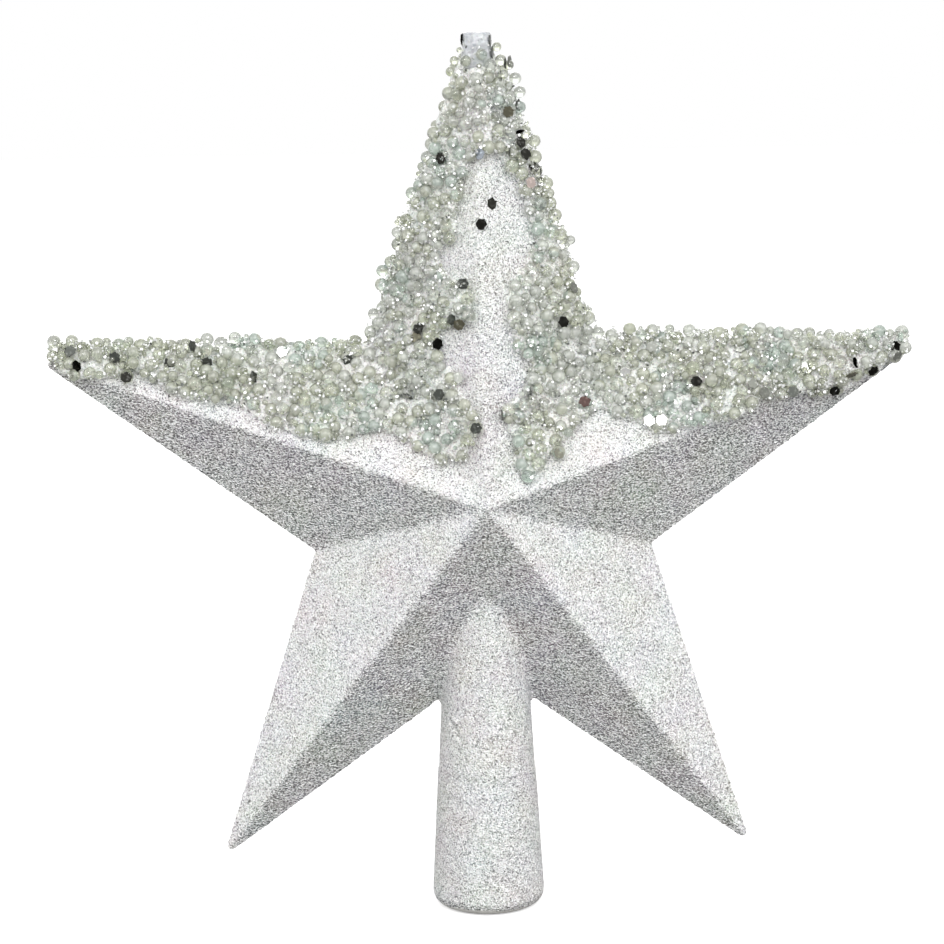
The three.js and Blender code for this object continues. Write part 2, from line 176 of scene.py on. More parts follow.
# Sequins that only the finished surface carries.
MORE_SEQUINS = [
    (10, 73, 35, 0, "dark", False),
    (11.8, 70.3, 50, 0, "dark", True), (2.5, 63, 20, 15, "dark", True),
    (0, 59, 0, 0, "dark", False), (0, 73.5, 15, 0, "frost", False),
    (-9.5, 34, 40, 45, "dark", False), (-14, 35, 0, 0, "olive", True),
    (-5.5, 27, 20, 0, "pale", True), (3.5, 19.5, 30, 60, "slate", True),
    (-86, 30, 50, 50, "dark", False), (-78, 31.5, 20, -45, "slate", False),
    (-66.5, 30, 5, -40, "slate", True), (-58.5, 30, 25, -45, "slate", True),
    (-28.5, 30, 0, -50, "slate", True), (36.5, 31.5, 15, 0, "pale", False),
    (55.5, 31, 40, 0, "pale", True), (66, 22, 0, -20, "slate", False),
    (80, 27.5, 30, 50, "dark", False), (89, 30.5, 10, -30, "dark", True),
    (79, 25, 25, -30, "olive", False), (69.5, 26.5, 45, 0, "silver", True),
    (30.5, 26.5, 30, -40, "silver", False), (37.5, 17, 10, 0, "silver", False),
    (8.7, 77.4, 0, -60, "dark", True), (13.2, 68.6, 15, 55, "dark", False),
    (-6.5, 39, 40, 65, "slate", True), (-9.5, 23.5, 0, 55, "slate", False),
    (71.5, 22, 20, 60, "olive", True), (-16, 22.5, 5, -70, "slate", True),
    (6.5, 73.5, 50, 50, "slate", True), (57.7, 23.8, 40, 0, "grey", False),
    (89.2, 28.6, 25, 0, "grey", False),
]
# Where the crust bulges past its even edge or falls short of it: place in the plane of the star
# and how far, in millimetres.
RIM_BULGES = [
    (-16.5, 58, 1.5), (-15.5, 53, -1.2), (-20.5, 47.5, 1.2), (-22, 42, -0.6), (-24.5, 38, 0.6),
    (-10.5, 73, -0.6), (12.5, 77, 0.6), (14, 66, 1.0), (18.5, 54, 1.2), (21, 43, -1.2),
    (25, 37, 1.0), (-86, 32, 0.8), (-73, 32, 1.5), (-64, 32, -1.4), (-51, 32, 1.2),
    (-45, 32, -0.8), (-39, 32, -1.5), (-27, 32, 0.5), (27, 33, 1.6), (45, 32, -0.6),
    (58, 33, 1.8), (66, 32, 0.5), (74, 32, -0.5),
]
# Creases pressed into the front of the neck: both ends, sideways and above the mouth, then the
# depth, less than 0 for a welt, and the half width, all in millimetres.
NECK_CREASES = [
    ((-8.0, 42.4), (-6.3, 39.3), 0.42, 0.42), ((-7.7, 43.6), (-6.7, 42.3), -0.30, 0.45),
    ((8.6, 40.6), (8.9, 39.4), 0.25, 0.45),
]
# Sequins stood on edge round the block of the crown: place in millimetres from the centre of
# the star, turn and lean in degrees, tone, which is a painted reflection.
CROWN_SEQUINS = [
    (-3.0, -0.6, 97.0, 10, 72, "dark"), (2.9, -0.9, 96.8, 0, 78, "slate"),
    (3.3, -0.9, 94.2, 20, 76, "slate"), (6.0, -1.2, 91.9, 30, 78, "dark"),
    (6.9, -0.7, 92.3, 10, 66, "grey"), (8.7, -0.5, 83.2, 25, 55, "slate"),
    (6.4, -3.2, 81.9, 10, 15, "olive"),
]
# Beads round the foot of that block: place and radius in millimetres.
CROWN_BEADS = [
    (0.9, -3.0, 93.9, 1.25), (-4.7, 0, 92.7, 0.95), (5.0, -0.8, 92.6, 1.25),
    (6.8, -0.2, 91.6, 1.05), (8.1, 0, 88.8, 1.3), (4.3, 0.4, 95.4, 1.0), (-5.5, 0, 90.4, 1.1),
    (-2.4, -2.6, 92.6, 1.2), (2.8, -3.1, 91.8, 1.3), (-3.7, -1.4, 94.9, 0.6),
    (-2.6, 2.7, 93.2, 1.2), (0.3, 3.3, 92.4, 1.3), (3.0, 2.6, 93.4, 1.1), (5.6, 1.4, 91.0, 1.2),
    (-4.6, 1.9, 91.2, 1.1), (9.0, 0.2, 85.9, 1.3),
]
REAR_SEQUINS = [
    (-7, 74, 10, 0, "dark", False), (13, 50, 30, 20, "silver", True),
    (-12, 40, 0, 0, "dark", False), (15, 30, 20, 40, "slate", True),
    (-20, 22, 45, 0, "grey", False), (26, 24, 5, -30, "dark", False),
    (-52, 24, 15, 0, "silver", False), (62, 25, 35, 50, "dark", True),
]


# Sizes and colours


def length_prop(name, description, default):
    """A property that holds a length."""
    return FloatProperty(name=name, description=description, default=default, unit="LENGTH")


def colour_prop(name, description, default):
    """A property that holds a colour."""
    return FloatVectorProperty(
        name=name, description=description, default=default, subtype="COLOR")


def point_prop(name, description, default):
    """A property that holds a point."""
    return FloatVectorProperty(
        name=name, description=description, default=default, subtype="TRANSLATION")


def number_prop(name, description, default, unit="NONE"):
    """A property that holds a plain number, or a power."""
    return FloatProperty(name=name, description=description, default=default, unit=unit)


class StarSizes(bpy.types.PropertyGroup):
    """Moulded star and its glitter coat"""

    tip_radius: length_prop("Tip radius", "Centre to a sharp tip", 0.100)
    notch_radius: length_prop("Notch radius", "Centre to an inner corner", 0.03865)
    half_depth: length_prop(
        "Half depth", "Plane of the rim to the peak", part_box("rear_shell")[1].y)
    height: length_prop("Height", "Mouth of the socket to the centre of the star", 0.092)
    reach: length_prop(
        "Reach", "Middle of the star to its furthest side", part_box("rear_shell")[1].x)
    tip_reach: length_prop("Tip reach", "Centre to the end of a rounded tip", 0.0974)
    grain: length_prop("Grain", "Width of one grain of glitter", 0.00022)
    relief: length_prop("Relief", "Width of one lump of the coat", 0.0005)
    relief_depth: length_prop("Relief depth", "Depth of the lumps of the coat", 0.0001)
    ridge_rounds: IntProperty(
        name="Ridge rounds", description="Passes that soften the ridges", default=8)


class SocketSizes(bpy.types.PropertyGroup):
    """Tapered socket and neck"""

    radius: length_prop("Radius", "Outer radius at the mouth", 0.0125)
    taper: number_prop("Taper", "Loss of radius per unit of height", 0.0561)
    step_height: length_prop("Step height", "Mouth to the step where the neck starts", 0.0305)
    step_depth: length_prop("Step depth", "How far the neck is set back", 0.00015)
    neck_taper: number_prop("Neck taper", "Loss of radius of the neck per unit of height", 0.054)
    neck_top: length_prop("Neck top", "Height at which the neck ends in the star", 0.077)
    neck_wall: length_prop("Neck wall", "Wall of the neck", 0.0014)
    spigot_gap: length_prop("Spigot gap", "Clearance between spigot and neck", 0.0003)
    top: length_prop("Top", "Upper end of the spigot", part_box("socket_sleeve")[1].z)
    wall: length_prop("Wall", "Wall of the socket", 0.0015)
    mouth_radius: length_prop("Mouth radius", "Radius of the opening", 0.0085)
    rim_round: length_prop("Rim rounding", "Rounding of the outer rim", 0.0029)


class CrustSizes(bpy.types.PropertyGroup):
    """Beads, flakes and glue of the crust"""

    bead_radius: length_prop("Bead radius", "Radius of an average glass bead", 0.00150)
    seed_radius: length_prop("Seed radius", "Radius of the smallest beads", 0.00055)
    thickness: length_prop("Thickness", "Thickness of the crust over a facet", 0.0034)
    overhang: length_prop(
        "Overhang", "Rim of the star to the middle of the furthest beads", 0.0029)
    crust_top: length_prop(
        "Crust top", "Centre of the star to the middle of the highest beads", 0.0917)
    glue: length_prop("Glue", "Radius of the drops that form the bed of glue", 0.00115)
    flake: length_prop("Flake", "Width of a fine flake", 0.0007)
    sequin: length_prop("Sequin", "Width of a sequin across its flats", 0.0024)
    sequin_thickness: length_prop("Sequin thickness", "Thickness of a sequin", 0.00014)


class FinishColours(bpy.types.PropertyGroup):
    """Colours of the finishes"""

    pearl: colour_prop("Pearl", "Light grains of the coat", (0.97, 0.97, 0.965))
    silver: colour_prop("Silver", "Dark grains of the coat", (0.18, 0.18, 0.18))
    glass: colour_prop("Glass", "Clear beads", (0.81, 0.84, 0.765))
    olive_glass: colour_prop("Olive glass", "Greenish beads", (0.72, 0.75, 0.61))
    mint_glass: colour_prop("Mint glass", "Cool green beads", (0.685, 0.79, 0.715))
    glue: colour_prop("Glue", "Clear glue over the glitter", (0.42, 0.43, 0.40))


class StageSettings(bpy.types.PropertyGroup):
    """Camera, lamps and floor"""

    camera_place: point_prop(
        "Camera place", "Eye of the camera", (-0.02325, -0.57133, 0.19679))
    camera_aim: point_prop(
        "Camera aim", "Point in the middle of the picture", (-0.00230, 0.0, 0.09660))
    camera_roll: FloatProperty(
        name="Camera roll", description="Turn about the line of sight",
        default=math.radians(-0.88), subtype="ANGLE")
    lens: number_prop("Lens", "Focal length for a sensor 36 mm wide, in millimetres", 102.32)
    sky_top: number_prop("Sky above", "Light from straight above", 0.80)
    sky_bottom: number_prop("Sky below", "Light from straight below", 0.26)
    backdrop_top: number_prop("Backdrop above", "White seen from above in glass and metal", 1.30)
    backdrop_bottom: number_prop(
        "Backdrop below", "White seen from below in glass and metal", 0.55)
    key_place: point_prop(
        "Key lamp place", "Middle of the large lamp above the camera", (0.10, -1.00, 0.95))
    key_power: number_prop("Key lamp", "Power of the large lamp above the camera", 7.7, "POWER")
    side_power: number_prop("Side lamps", "Power of the lamp on each side", 2.3, "POWER")
    rear_power: number_prop("Rear lamp", "Power of the lamp behind the star", 4.0, "POWER")
    spark_power: number_prop("Spark lamps", "Power of each small lamp in front", 1.8, "POWER")


def sizes():
    """The groups of sizes of the scene: star, socket, crust, colours and stage."""
    scene = bpy.context.scene
    return (
        scene.topper_star, scene.topper_socket, scene.topper_crust,
        scene.topper_colours, scene.topper_stage)


# Form of the star


def edge_distance(star):
    """Centre of the star to the line of one of its edges."""
    tip, notch = star.tip_radius, star.notch_radius
    edge = math.sqrt(tip**2 + notch**2 - 2 * tip * notch * math.cos(HALF_STEP))
    return tip * notch * math.sin(HALF_STEP) / edge


def facet_distance(star):
    """Centre of the star to each of its facets."""
    edge = edge_distance(star)
    return star.half_depth * edge / math.hypot(star.half_depth, edge)


def facet_edge(x, z, star):
    """Direction in the plane of the star, square to the outer edge of the facet at a place."""
    turn = 2 * HALF_STEP
    from_top = np.arctan2(z, x) - math.pi / 2
    nearest = np.round(from_top / turn) * turn
    angle = math.acos(edge_distance(star) / star.tip_radius)
    return math.pi / 2 + nearest + np.where(from_top >= nearest, 1, -1) * angle


def facet_run(x, z, star):
    """Distance from the centre, square to the outer edge of the facet at a place."""
    edge = facet_edge(x, z, star)
    return x * np.cos(edge) + z * np.sin(edge)


def depth_at(run, lift, star):
    """Distance from the plane of the star to a facet that is moved out by a lift."""
    return star.half_depth * (1 + lift / facet_distance(star) - run / edge_distance(star))


def facet_depth(x, z, lift, star):
    """The same distance at a place."""
    return depth_at(facet_run(x, z, star), lift, star)


def facet_normal(x, z, side, star):
    """Outward normal of the facet at a place."""
    edge = facet_edge(x, z, star)
    slope = star.half_depth / edge_distance(star)
    return Vector((slope * math.cos(edge), side, slope * math.sin(edge))).normalized()


def neck_radius(height, socket):
    """Outer radius of the neck at a height."""
    foot = socket.radius - socket.taper * socket.step_height - socket.step_depth
    return foot - socket.neck_taper * (height - socket.step_height)


# Meshes


def add_object(name, data):
    """An object in the scene."""
    made = bpy.data.objects.new(name, data)
    bpy.context.scene.collection.objects.link(made)
    return made


def make_piece(name, points, faces, material, slot, smooth=False):
    """A mesh object that rides on the body of the model and has a finish."""
    mesh = bpy.data.meshes.new(name)
    mesh.from_pydata(np.asarray(points).tolist(), [], [tuple(face) for face in faces])
    mesh.polygons.foreach_set("use_smooth", np.full(len(mesh.polygons), smooth))
    mesh.materials.append(material)
    mesh.update()
    piece = add_object(name, mesh)
    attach(piece, BODY)
    return piece


def arrays_of(mesh):
    """Points of a mesh and its faces, all of them with the same number of corners."""
    points = np.empty(len(mesh.vertices) * 3)
    mesh.vertices.foreach_get("co", points)
    corners = np.empty(len(mesh.loops), np.int64)
    mesh.loops.foreach_get("vertex_index", corners)
    return points.reshape(-1, 3), corners.reshape(len(mesh.polygons), -1)


def opened(*meshes):
    """One bmesh with all that some bare meshes hold; the meshes are used up."""
    build = bmesh.new()
    for mesh in meshes:
        build.from_mesh(mesh)
        bpy.data.meshes.remove(mesh)
    return build


def closed(build):
    """Points and faces of a bmesh, which is used up."""
    mesh = bpy.data.meshes.new("bare")
    build.to_mesh(mesh)
    build.free()
    found = arrays_of(mesh)
    bpy.data.meshes.remove(mesh)
    return found


def normals_of(points, faces):
    """Unit normal at each point, averaged over the faces around it."""
    across = points[faces[:, 2]] - points[faces[:, 0]]
    along = points[faces[:, -1]] - points[faces[:, 1]]
    square = np.cross(across, along)
    total = np.zeros_like(points)
    for corner in range(faces.shape[1]):
        np.add.at(total, faces[:, corner], square)
    return total / np.maximum(np.linalg.norm(total, axis=1, keepdims=True), 1e-12)


def spread(values, faces, rounds, weight=1.0):
    """Values at the points of a mesh, averaged with their neighbours a number of times."""
    ends = np.concatenate([faces, np.roll(faces, -1, axis=1)]).reshape(2, -1)
    count = np.bincount(ends[0], minlength=len(values)) + np.bincount(
        ends[1], minlength=len(values))
    columns = values.reshape(len(values), -1).copy()
    for _ in range(rounds):
        total = np.stack([
            np.bincount(ends[0], column[ends[1]], len(values))
            + np.bincount(ends[1], column[ends[0]], len(values))
            for column in columns.T], axis=1)
        mean = total / np.maximum(count, 1)[:, None]
        columns += (mean - columns) * 0.5 * np.reshape(weight, (-1, 1))
    return columns.reshape(values.shape)


def relief(grains, lumps, faces):
    """How far the coat lies in at each point, from chances for its grains and its lumps."""
    lumps = spread(lumps, faces, 3) - 0.5
    return np.clip(grains + LUMP_SHARE * lumps, 0, RELIEF_LIMIT)


def roughened(points, normals, inward, jitter):
    """Points moved inward, and aside as far as a jitter runs along the surface."""
    jitter -= normals * np.sum(jitter * normals, axis=1, keepdims=True)
    return points - normals * inward[:, None] + jitter


def split_quads(faces, random):
    """Each quad as two triangles, cut along one diagonal or the other at random."""
    turned = random.random(len(faces)) < 0.5
    quads = np.where(turned[:, None], np.roll(faces, 1, axis=1), faces)
    return np.concatenate([quads[:, [0, 1, 2]], quads[:, [0, 2, 3]]])


def remeshed(parts, voxel):
    """One closed skin of even quads round closed meshes, which may run into each other."""
    mesh = bpy.data.meshes.new("rough")
    build = opened(*parts)
    build.to_mesh(mesh)
    build.free()
    rough = add_object("rough", mesh)
    skin = rough.modifiers.new("skin", "REMESH")
    skin.mode = "VOXEL"
    skin.voxel_size = voxel
    bpy.context.view_layer.update()
    found = rough.evaluated_get(bpy.context.evaluated_depsgraph_get()).to_mesh()
    points, faces = arrays_of(found)
    bpy.data.objects.remove(rough)
    bpy.data.meshes.remove(mesh)
    return points, faces


def plain_mesh(points, faces):
    """A bare mesh."""
    mesh = bpy.data.meshes.new("bare")
    mesh.from_pydata([tuple(p) for p in points], [], [tuple(f) for f in faces])
    return mesh


def scattered(template, places, scales, random, squash=0.0):
    """Copies of a template mesh, each turned at random, as one set of points and faces."""
    points, faces = template
    turns = random.normal(size=(len(places), 4))
    turns /= np.linalg.norm(turns, axis=1, keepdims=True)
    w, x, y, z = turns.T
    spin = np.stack([
        1 - 2 * (y * y + z * z), 2 * (x * y - w * z), 2 * (x * z + w * y),
        2 * (x * y + w * z), 1 - 2 * (x * x + z * z), 2 * (y * z - w * x),
        2 * (x * z - w * y), 2 * (y * z + w * x), 1 - 2 * (x * x + y * y),
    ], axis=1).reshape(-1, 3, 3)
    stretch = 1 + (random.random((len(places), 1, 3)) - 0.5) * 2 * squash
    body = points[None] * stretch * np.asarray(scales)[:, None, None]
    copies = np.einsum("nij,nkj->nki", spin, body) + np.asarray(places)[:, None]
    shift = np.arange(len(places))[:, None, None] * len(points)
    return copies.reshape(-1, 3), (faces[None] + shift).reshape(-1, faces.shape[1])


def ball(subdivisions):
    """Points and triangles of a round bead of unit radius."""
    build = bmesh.new()
    bmesh.ops.create_icosphere(build, subdivisions=subdivisions, radius=1.0)
    return closed(build)


def turned_mesh(profile, sides):
    """Points and quads of a body turned about the Z axis from a closed profile."""
    angles = np.arange(sides) * 2 * math.pi / sides
    rows = [
        np.stack([radius * np.cos(angles), radius * np.sin(angles), np.full(sides, height)], 1)
        for radius, height in profile]
    points = np.concatenate(rows)
    faces = []
    for row in range(len(profile)):
        above = (row + 1) % len(profile)
        here = np.arange(sides)
        following = (here + 1) % sides
        faces.append(np.stack([
            row * sides + here, row * sides + following,
            above * sides + following, above * sides + here], 1))
    return points, np.concatenate(faces)


# Finishes


def feed(tree, node, inputs):
    """Gives inputs of a node, by name or number, a plain value or a link from a socket."""
    for key, value in inputs.items():
        if isinstance(value, bpy.types.NodeSocket):
            tree.links.new(value, node.inputs[key])
        else:
            node.inputs[key].default_value = value


def add_node(tree, kind, inputs=None, **settings):
    """A shader node with its settings and what feeds it."""
    node = tree.nodes.new(f"ShaderNode{kind}")
    for name, value in settings.items():
        setattr(node, name, value)
    feed(tree, node, inputs or {})
    return node


def maths(tree, operation, first, second=0.0, clamp=False):
    """Result of a math node fed by sockets or plain numbers."""
    node = add_node(
        tree, "Math", {0: first, 1: second}, operation=operation, use_clamp=clamp)
    return node.outputs[0]


def mix_colour(tree, factor, first, second, blend="MIX"):
    """A mix of two colours, each a socket or a plain colour."""
    node = add_node(
        tree, "Mix", {"Factor": factor, 6: first, 7: second}, data_type="RGBA",
        blend_type=blend)
    return node.outputs[2]


def noise(tree, scale, detail=2.0):
    """Outputs of a noise that is fixed to the object."""
    spot = add_node(tree, "TexCoord").outputs["Object"]
    return add_node(
        tree, "TexNoise", {"Vector": spot, "Scale": scale, "Detail": detail}).outputs


def new_group(name, inputs, outputs):
    """An empty group of shader nodes: its tree, what comes in, and its end."""
    tree = bpy.data.node_groups.new(name, "ShaderNodeTree")
    for socket, value in inputs.items():
        kind = "Color" if isinstance(value, tuple) else "Float"
        made = tree.interface.new_socket(
            socket, in_out="INPUT", socket_type=f"NodeSocket{kind}")
        made.default_value = value
    for socket, kind in outputs.items():
        tree.interface.new_socket(socket, in_out="OUTPUT", socket_type=f"NodeSocket{kind}")
    start = tree.nodes.new("NodeGroupInput")
    return tree, start.outputs, tree.nodes.new("NodeGroupOutput")


def grain_group():
    """Glitter: every grain has its own tone, tint, gloss and lean, over fine ripples that are also
    painted as shade and light on faces that look down.
    """
    name = "glitter grain"
    if name in bpy.data.node_groups:
        return bpy.data.node_groups[name]
    tree, given, end = new_group(
        name,
        {
            "Grain Size": 0.0005, "Light Grains": (0.9, 0.9, 0.9, 1),
            "Dark Grains": (0.4, 0.4, 0.4, 1), "Tint": 0.1, "Roughness": 0.4, "Tilt": 1.0,
        },
        {"Color": "Color", "Roughness": "Float", "Normal": "Vector", "Ripples": "Float"})
    spot = add_node(tree, "TexCoord").outputs["Object"]
    outward = add_node(tree, "NewGeometry").outputs["Normal"]
    # Ripples run level and show on faces that look down, as bumps and as painted shade in the
    # colour.
    flat = add_node(tree, "Mapping", {"Vector": spot, "Scale": (2200, 2200, 2900)})
    ripples = add_node(tree, "TexNoise", {
        "Vector": flat.outputs["Vector"], "Scale": 1.0, "Detail": 0.0}).outputs["Fac"]
    facing = add_node(tree, "SeparateXYZ", {"Vector": outward}).outputs["Z"]
    down = maths(tree, "MULTIPLY", facing, -2.4, clamp=True)
    down = maths(tree, "ADD", down, 0.12)
    # Chance and patches set the share of the dark tone in each grain; on faces that look down the
    # ripples add painted shade and light to it, as from a light above.
    frequency = maths(tree, "DIVIDE", 1.0, given["Grain Size"])
    grains = add_node(tree, "TexVoronoi", {"Vector": spot, "Scale": frequency}).outputs["Color"]
    chance = add_node(tree, "SeparateColor", {"Color": grains}).outputs
    patches = noise(tree, 90.0, 3.0)
    cloud = maths(tree, "MULTIPLY", patches["Fac"], 0.12)
    # Painted shade: the ripples darken and lighten the grains on faces that look down.
    painted_ripple_shade = maths(tree, "MULTIPLY", maths(tree, "SUBTRACT", ripples, 0.5), down)
    share = maths(tree, "ADD", maths(tree, "POWER", chance[0], 2.4), cloud)
    share = maths(tree, "ADD", share, maths(tree, "MULTIPLY", painted_ripple_shade, 2.8), clamp=True)
    tone = mix_colour(tree, share, given["Light Grains"], given["Dark Grains"])
    rainbow = add_node(tree, "CombineColor", {0: chance[1], 1: 0.55, 2: 1.0}, mode="HSV")
    tone = mix_colour(tree, given["Tint"], tone, rainbow.outputs["Color"], "MULTIPLY")
    tone = mix_colour(tree, 0.2, tone, patches["Color"], "OVERLAY")
    gloss = maths(tree, "MULTIPLY", chance[2], given["Roughness"])
    # Each grain leans its own way.
    lean = grains
    for operation, inputs in (
            ("SUBTRACT", {1: (0.5, 0.5, 0.5)}), ("SCALE", {"Scale": given["Tilt"]})):
        node = add_node(tree, "VectorMath", {0: lean, **inputs}, operation=operation)
        lean = node.outputs["Vector"]
    lean = add_node(tree, "VectorMath", {0: outward, 1: lean}, operation="ADD").outputs[0]
    lean = add_node(tree, "VectorMath", {0: lean}, operation="NORMALIZE").outputs[0]
    feed(tree, end, {
        "Color": tone, "Roughness": maths(tree, "ADD", gloss, 0.25), "Normal": lean,
        "Ripples": maths(tree, "MULTIPLY", ripples, down)})
    return tree


def bead_group():
    """Glass beads: every bead has one of three glasses, in a shade of its own."""
    name = "bead glass"
    if name in bpy.data.node_groups:
        return bpy.data.node_groups[name]
    tree, given, end = new_group(
        name,
        {
            "Clear": (0.9, 0.9, 0.9, 1), "Olive": (0.7, 0.75, 0.6, 1),
            "Mint": (0.7, 0.8, 0.75, 1),
        },
        {"Color": "Color"})
    chance = add_node(tree, "NewGeometry").outputs["Random Per Island"]
    patches = add_node(tree, "SeparateColor", {"Color": noise(tree, 75.0)["Color"]}).outputs
    batch = maths(tree, "MULTIPLY", chance, 0.16)
    tint = given["Clear"]
    for glass, patch, edge in (("Olive", patches[0], 0.53), ("Mint", patches[1], 0.70)):
        share = maths(tree, "GREATER_THAN", maths(tree, "ADD", batch, patch), edge)
        tint = mix_colour(tree, share, tint, given[glass])
    shade = maths(tree, "FRACT", maths(tree, "MULTIPLY", chance, 37.0))
    shade = maths(tree, "MULTIPLY", shade, 0.30)
    feed(tree, end, {"Color": mix_colour(tree, shade, tint, (0.60, 0.60, 0.58, 1))})
    return tree


def new_material(name):
    """A material, its node tree and its Principled shader."""
    material = bpy.data.materials.new(name)
    material.use_nodes = True
    return material, material.node_tree, material.node_tree.nodes["Principled BSDF"]


def rgba(tint):
    """A colour with full alpha."""
    return (*tint, 1.0)


def glitter(tree, grain, light, dark, tint):
    """What the glitter grains put out in a material."""
    return add_node(tree, "Group", {
        "Grain Size": grain, "Light Grains": light, "Dark Grains": dark, "Tint": tint,
    }, node_tree=grain_group()).outputs


def glitter_material(star, colours):
    """Glitter coat over plastic."""
    name = "glitter coat"
    if name in bpy.data.materials:
        return bpy.data.materials[name]
    material, tree, shader = new_material(name)
    coat = glitter(tree, star.grain, rgba(colours.pearl), rgba(colours.silver), 0.06)
    bump = add_node(tree, "Bump", {
        "Distance": 0.001, "Height": coat["Ripples"], "Normal": coat["Normal"]})
    feed(tree, shader, {
        "Base Color": coat["Color"], "Roughness": coat["Roughness"],
        "Normal": bump.outputs["Normal"], "Metallic": 0.15})
    return material


def plastic_material():
    """Bare plastic where the glitter has not reached."""
    material, tree, shader = new_material("bare plastic")
    clouds = noise(tree, 400.0, 4.0)["Fac"]
    feed(tree, shader, {
        "Base Color": mix_colour(tree, clouds, (0.52, 0.51, 0.48, 1), (0.64, 0.63, 0.60, 1)),
        "Roughness": maths(tree, "MULTIPLY", clouds, 0.8)})
    return material


def glass_material(name, colours, roughness, clear, depth):
    """Tinted glass of the beads, from milky to clear, its colours of a given depth."""
    material, tree, shader = new_material(name)
    tints = {"Clear": colours.glass, "Olive": colours.olive_glass, "Mint": colours.mint_glass}
    inputs = {kind: rgba(value * depth for value in tint) for kind, tint in tints.items()}
    glass = add_node(tree, "Group", inputs, node_tree=bead_group())
    feed(tree, shader, {
        "Base Color": glass.outputs["Color"], "Metallic": 0.0, "Roughness": roughness,
        "IOR": 1.5, "Transmission Weight": clear, "Coat Weight": 1.0, "Coat Roughness": 0.04})
    return material


def glue_material(colours):
    """Clear glue with glitter under it."""
    material, tree, shader = new_material("clear glue")
    coat = glitter(tree, 0.0003, (0.95, 0.96, 0.93, 1), rgba(colours.glue), 0.08)
    feed(tree, shader, {
        "Base Color": coat["Color"], "Normal": coat["Normal"], "Roughness": 0.2,
        "Coat Weight": 0.6, "Coat Roughness": 0.05})
    return material


# Colour of each tone of sequin, and how much of a mirror it is. Apart from silver, each
# colour is a painted reflection: the dark that a silver mirror shows, painted into its film.
SEQUIN_PAINTED_REFLECTIONS = {
    "dark": ((0.014, 0.014, 0.012), 1.0),
    "slate": ((0.07, 0.075, 0.067), 0.45),
    "grey": ((0.17, 0.175, 0.155), 0.45),
    "pale": ((0.34, 0.35, 0.32), 0.45),
    "silver": ((0.95, 0.95, 0.93), 1.0),
    "frost": ((0.19, 0.21, 0.235), 0.45),
    "olive": ((0.105, 0.10, 0.07), 0.45),
    "moss": ((0.22, 0.22, 0.175), 0.45),
    "rose": ((0.058, 0.034, 0.030), 0.45),
    "blush": ((0.36, 0.30, 0.275), 0.45),
}


def sequin_material(tone):
    """Mirror film of a sequin, a little scuffed; apart from silver, its colour is a painted
    reflection.
    """
    name = f"mirror sequin {tone}"
    if name in bpy.data.materials:
        return bpy.data.materials[name]
    material, tree, shader = new_material(name)
    scuff = noise(tree, 1700.0)["Fac"]
    edge = add_node(tree, "MapRange", {"Value": scuff, "From Min": 0.54, "From Max": 0.70})
    # The film colour of every tone but silver is a painted reflection of a dark room.
    film, mirror = SEQUIN_PAINTED_REFLECTIONS[tone]
    worn = tuple(min(1.0, value * 2.0 + 0.03) for value in film)
    feed(tree, shader, {
        "Base Color": mix_colour(tree, edge.outputs["Result"], rgba(film), rgba(worn)),
        "Roughness": maths(tree, "MULTIPLY", scuff, 0.22), "Metallic": mirror,
        "Specular Tint": (0.3, 0.3, 0.3, 1)})
    return material


def crown_material():
    """Pale cloudy glue of the block on the top point."""
    material, tree, shader = new_material("crown glue")
    coat = glitter(tree, 0.0006, (0.86, 0.89, 0.90, 1), (0.66, 0.69, 0.71, 1), 0.04)
    feed(tree, shader, {
        "Base Color": coat["Color"], "Roughness": 0.25, "Transmission Weight": 0.5,
        "Coat Weight": 0.5, "Coat Roughness": 0.05})
    return material


def flake_material():
    """Fine flakes of clear and silver film, a few of them dark."""
    name = "fine flakes"
    if name in bpy.data.materials:
        return bpy.data.materials[name]
    material, tree, shader = new_material(name)
    chance = add_node(tree, "NewGeometry").outputs["Random Per Island"]
    dark = maths(tree, "GREATER_THAN", chance, 0.95)
    feed(tree, shader, {
        "Base Color": mix_colour(tree, dark, (0.94, 0.95, 0.94, 1), (0.18, 0.19, 0.18, 1)),
        "Metallic": 0.6, "Roughness": 0.22})
    return material


# Crust


def crust_outlines():
    """Closed outlines of both patches, in metres in the plane of the star."""
    left = [(3, BEYOND_TOP), *LEFT_EDGE, (-BEYOND_SIDE, 30), (-BEYOND_SIDE, BEYOND_TOP)]
    right = [(3, BEYOND_TOP), *RIGHT_EDGE, (BEYOND_SIDE, 29), (BEYOND_SIDE, BEYOND_TOP)]
    return [np.array(outline) * MM for outline in (left, right)]


def inside(x, z, outline):
    """Which places lie inside a closed outline."""
    found = np.zeros(len(x), bool)
    for a, b in zip(outline, np.roll(outline, -1, axis=0)):
        if a[1] == b[1]:
            continue
        crosses = ((a[1] > z) != (b[1] > z)) & (
            x < (b[0] - a[0]) * (z - a[1]) / (b[1] - a[1]) + a[0])
        found ^= crosses
    return found


def on_crust(x, z, margin):
    """Which places lie in a patch of the crust, at least a margin from its edges."""
    found = np.zeros(len(x), bool)
    for outline in crust_outlines():
        within = np.ones(len(x), bool)
        for turn in range(6):
            angle = turn * math.pi / 3
            within &= inside(x + margin * math.cos(angle), z + margin * math.sin(angle), outline)
        found |= within
    return found


def on_side_arm(x):
    """How far out along a side arm a place is, from 0 near the middle to 1."""
    return np.clip((abs(x) - 0.02) / 0.03, 0, 1)


def crust_top(x, z, crust):
    """Thickness of the crust over a facet, thicker along the side arms, thin at its edge."""
    waves = np.sin(x * 310) * np.sin(z * 270 + 1) * 0.1
    within = crust.thickness * (1 + waves + 0.16 * on_side_arm(x))
    return np.where(on_crust(x, z, 2.4 * MM), within, 0.87 * crust.thickness)


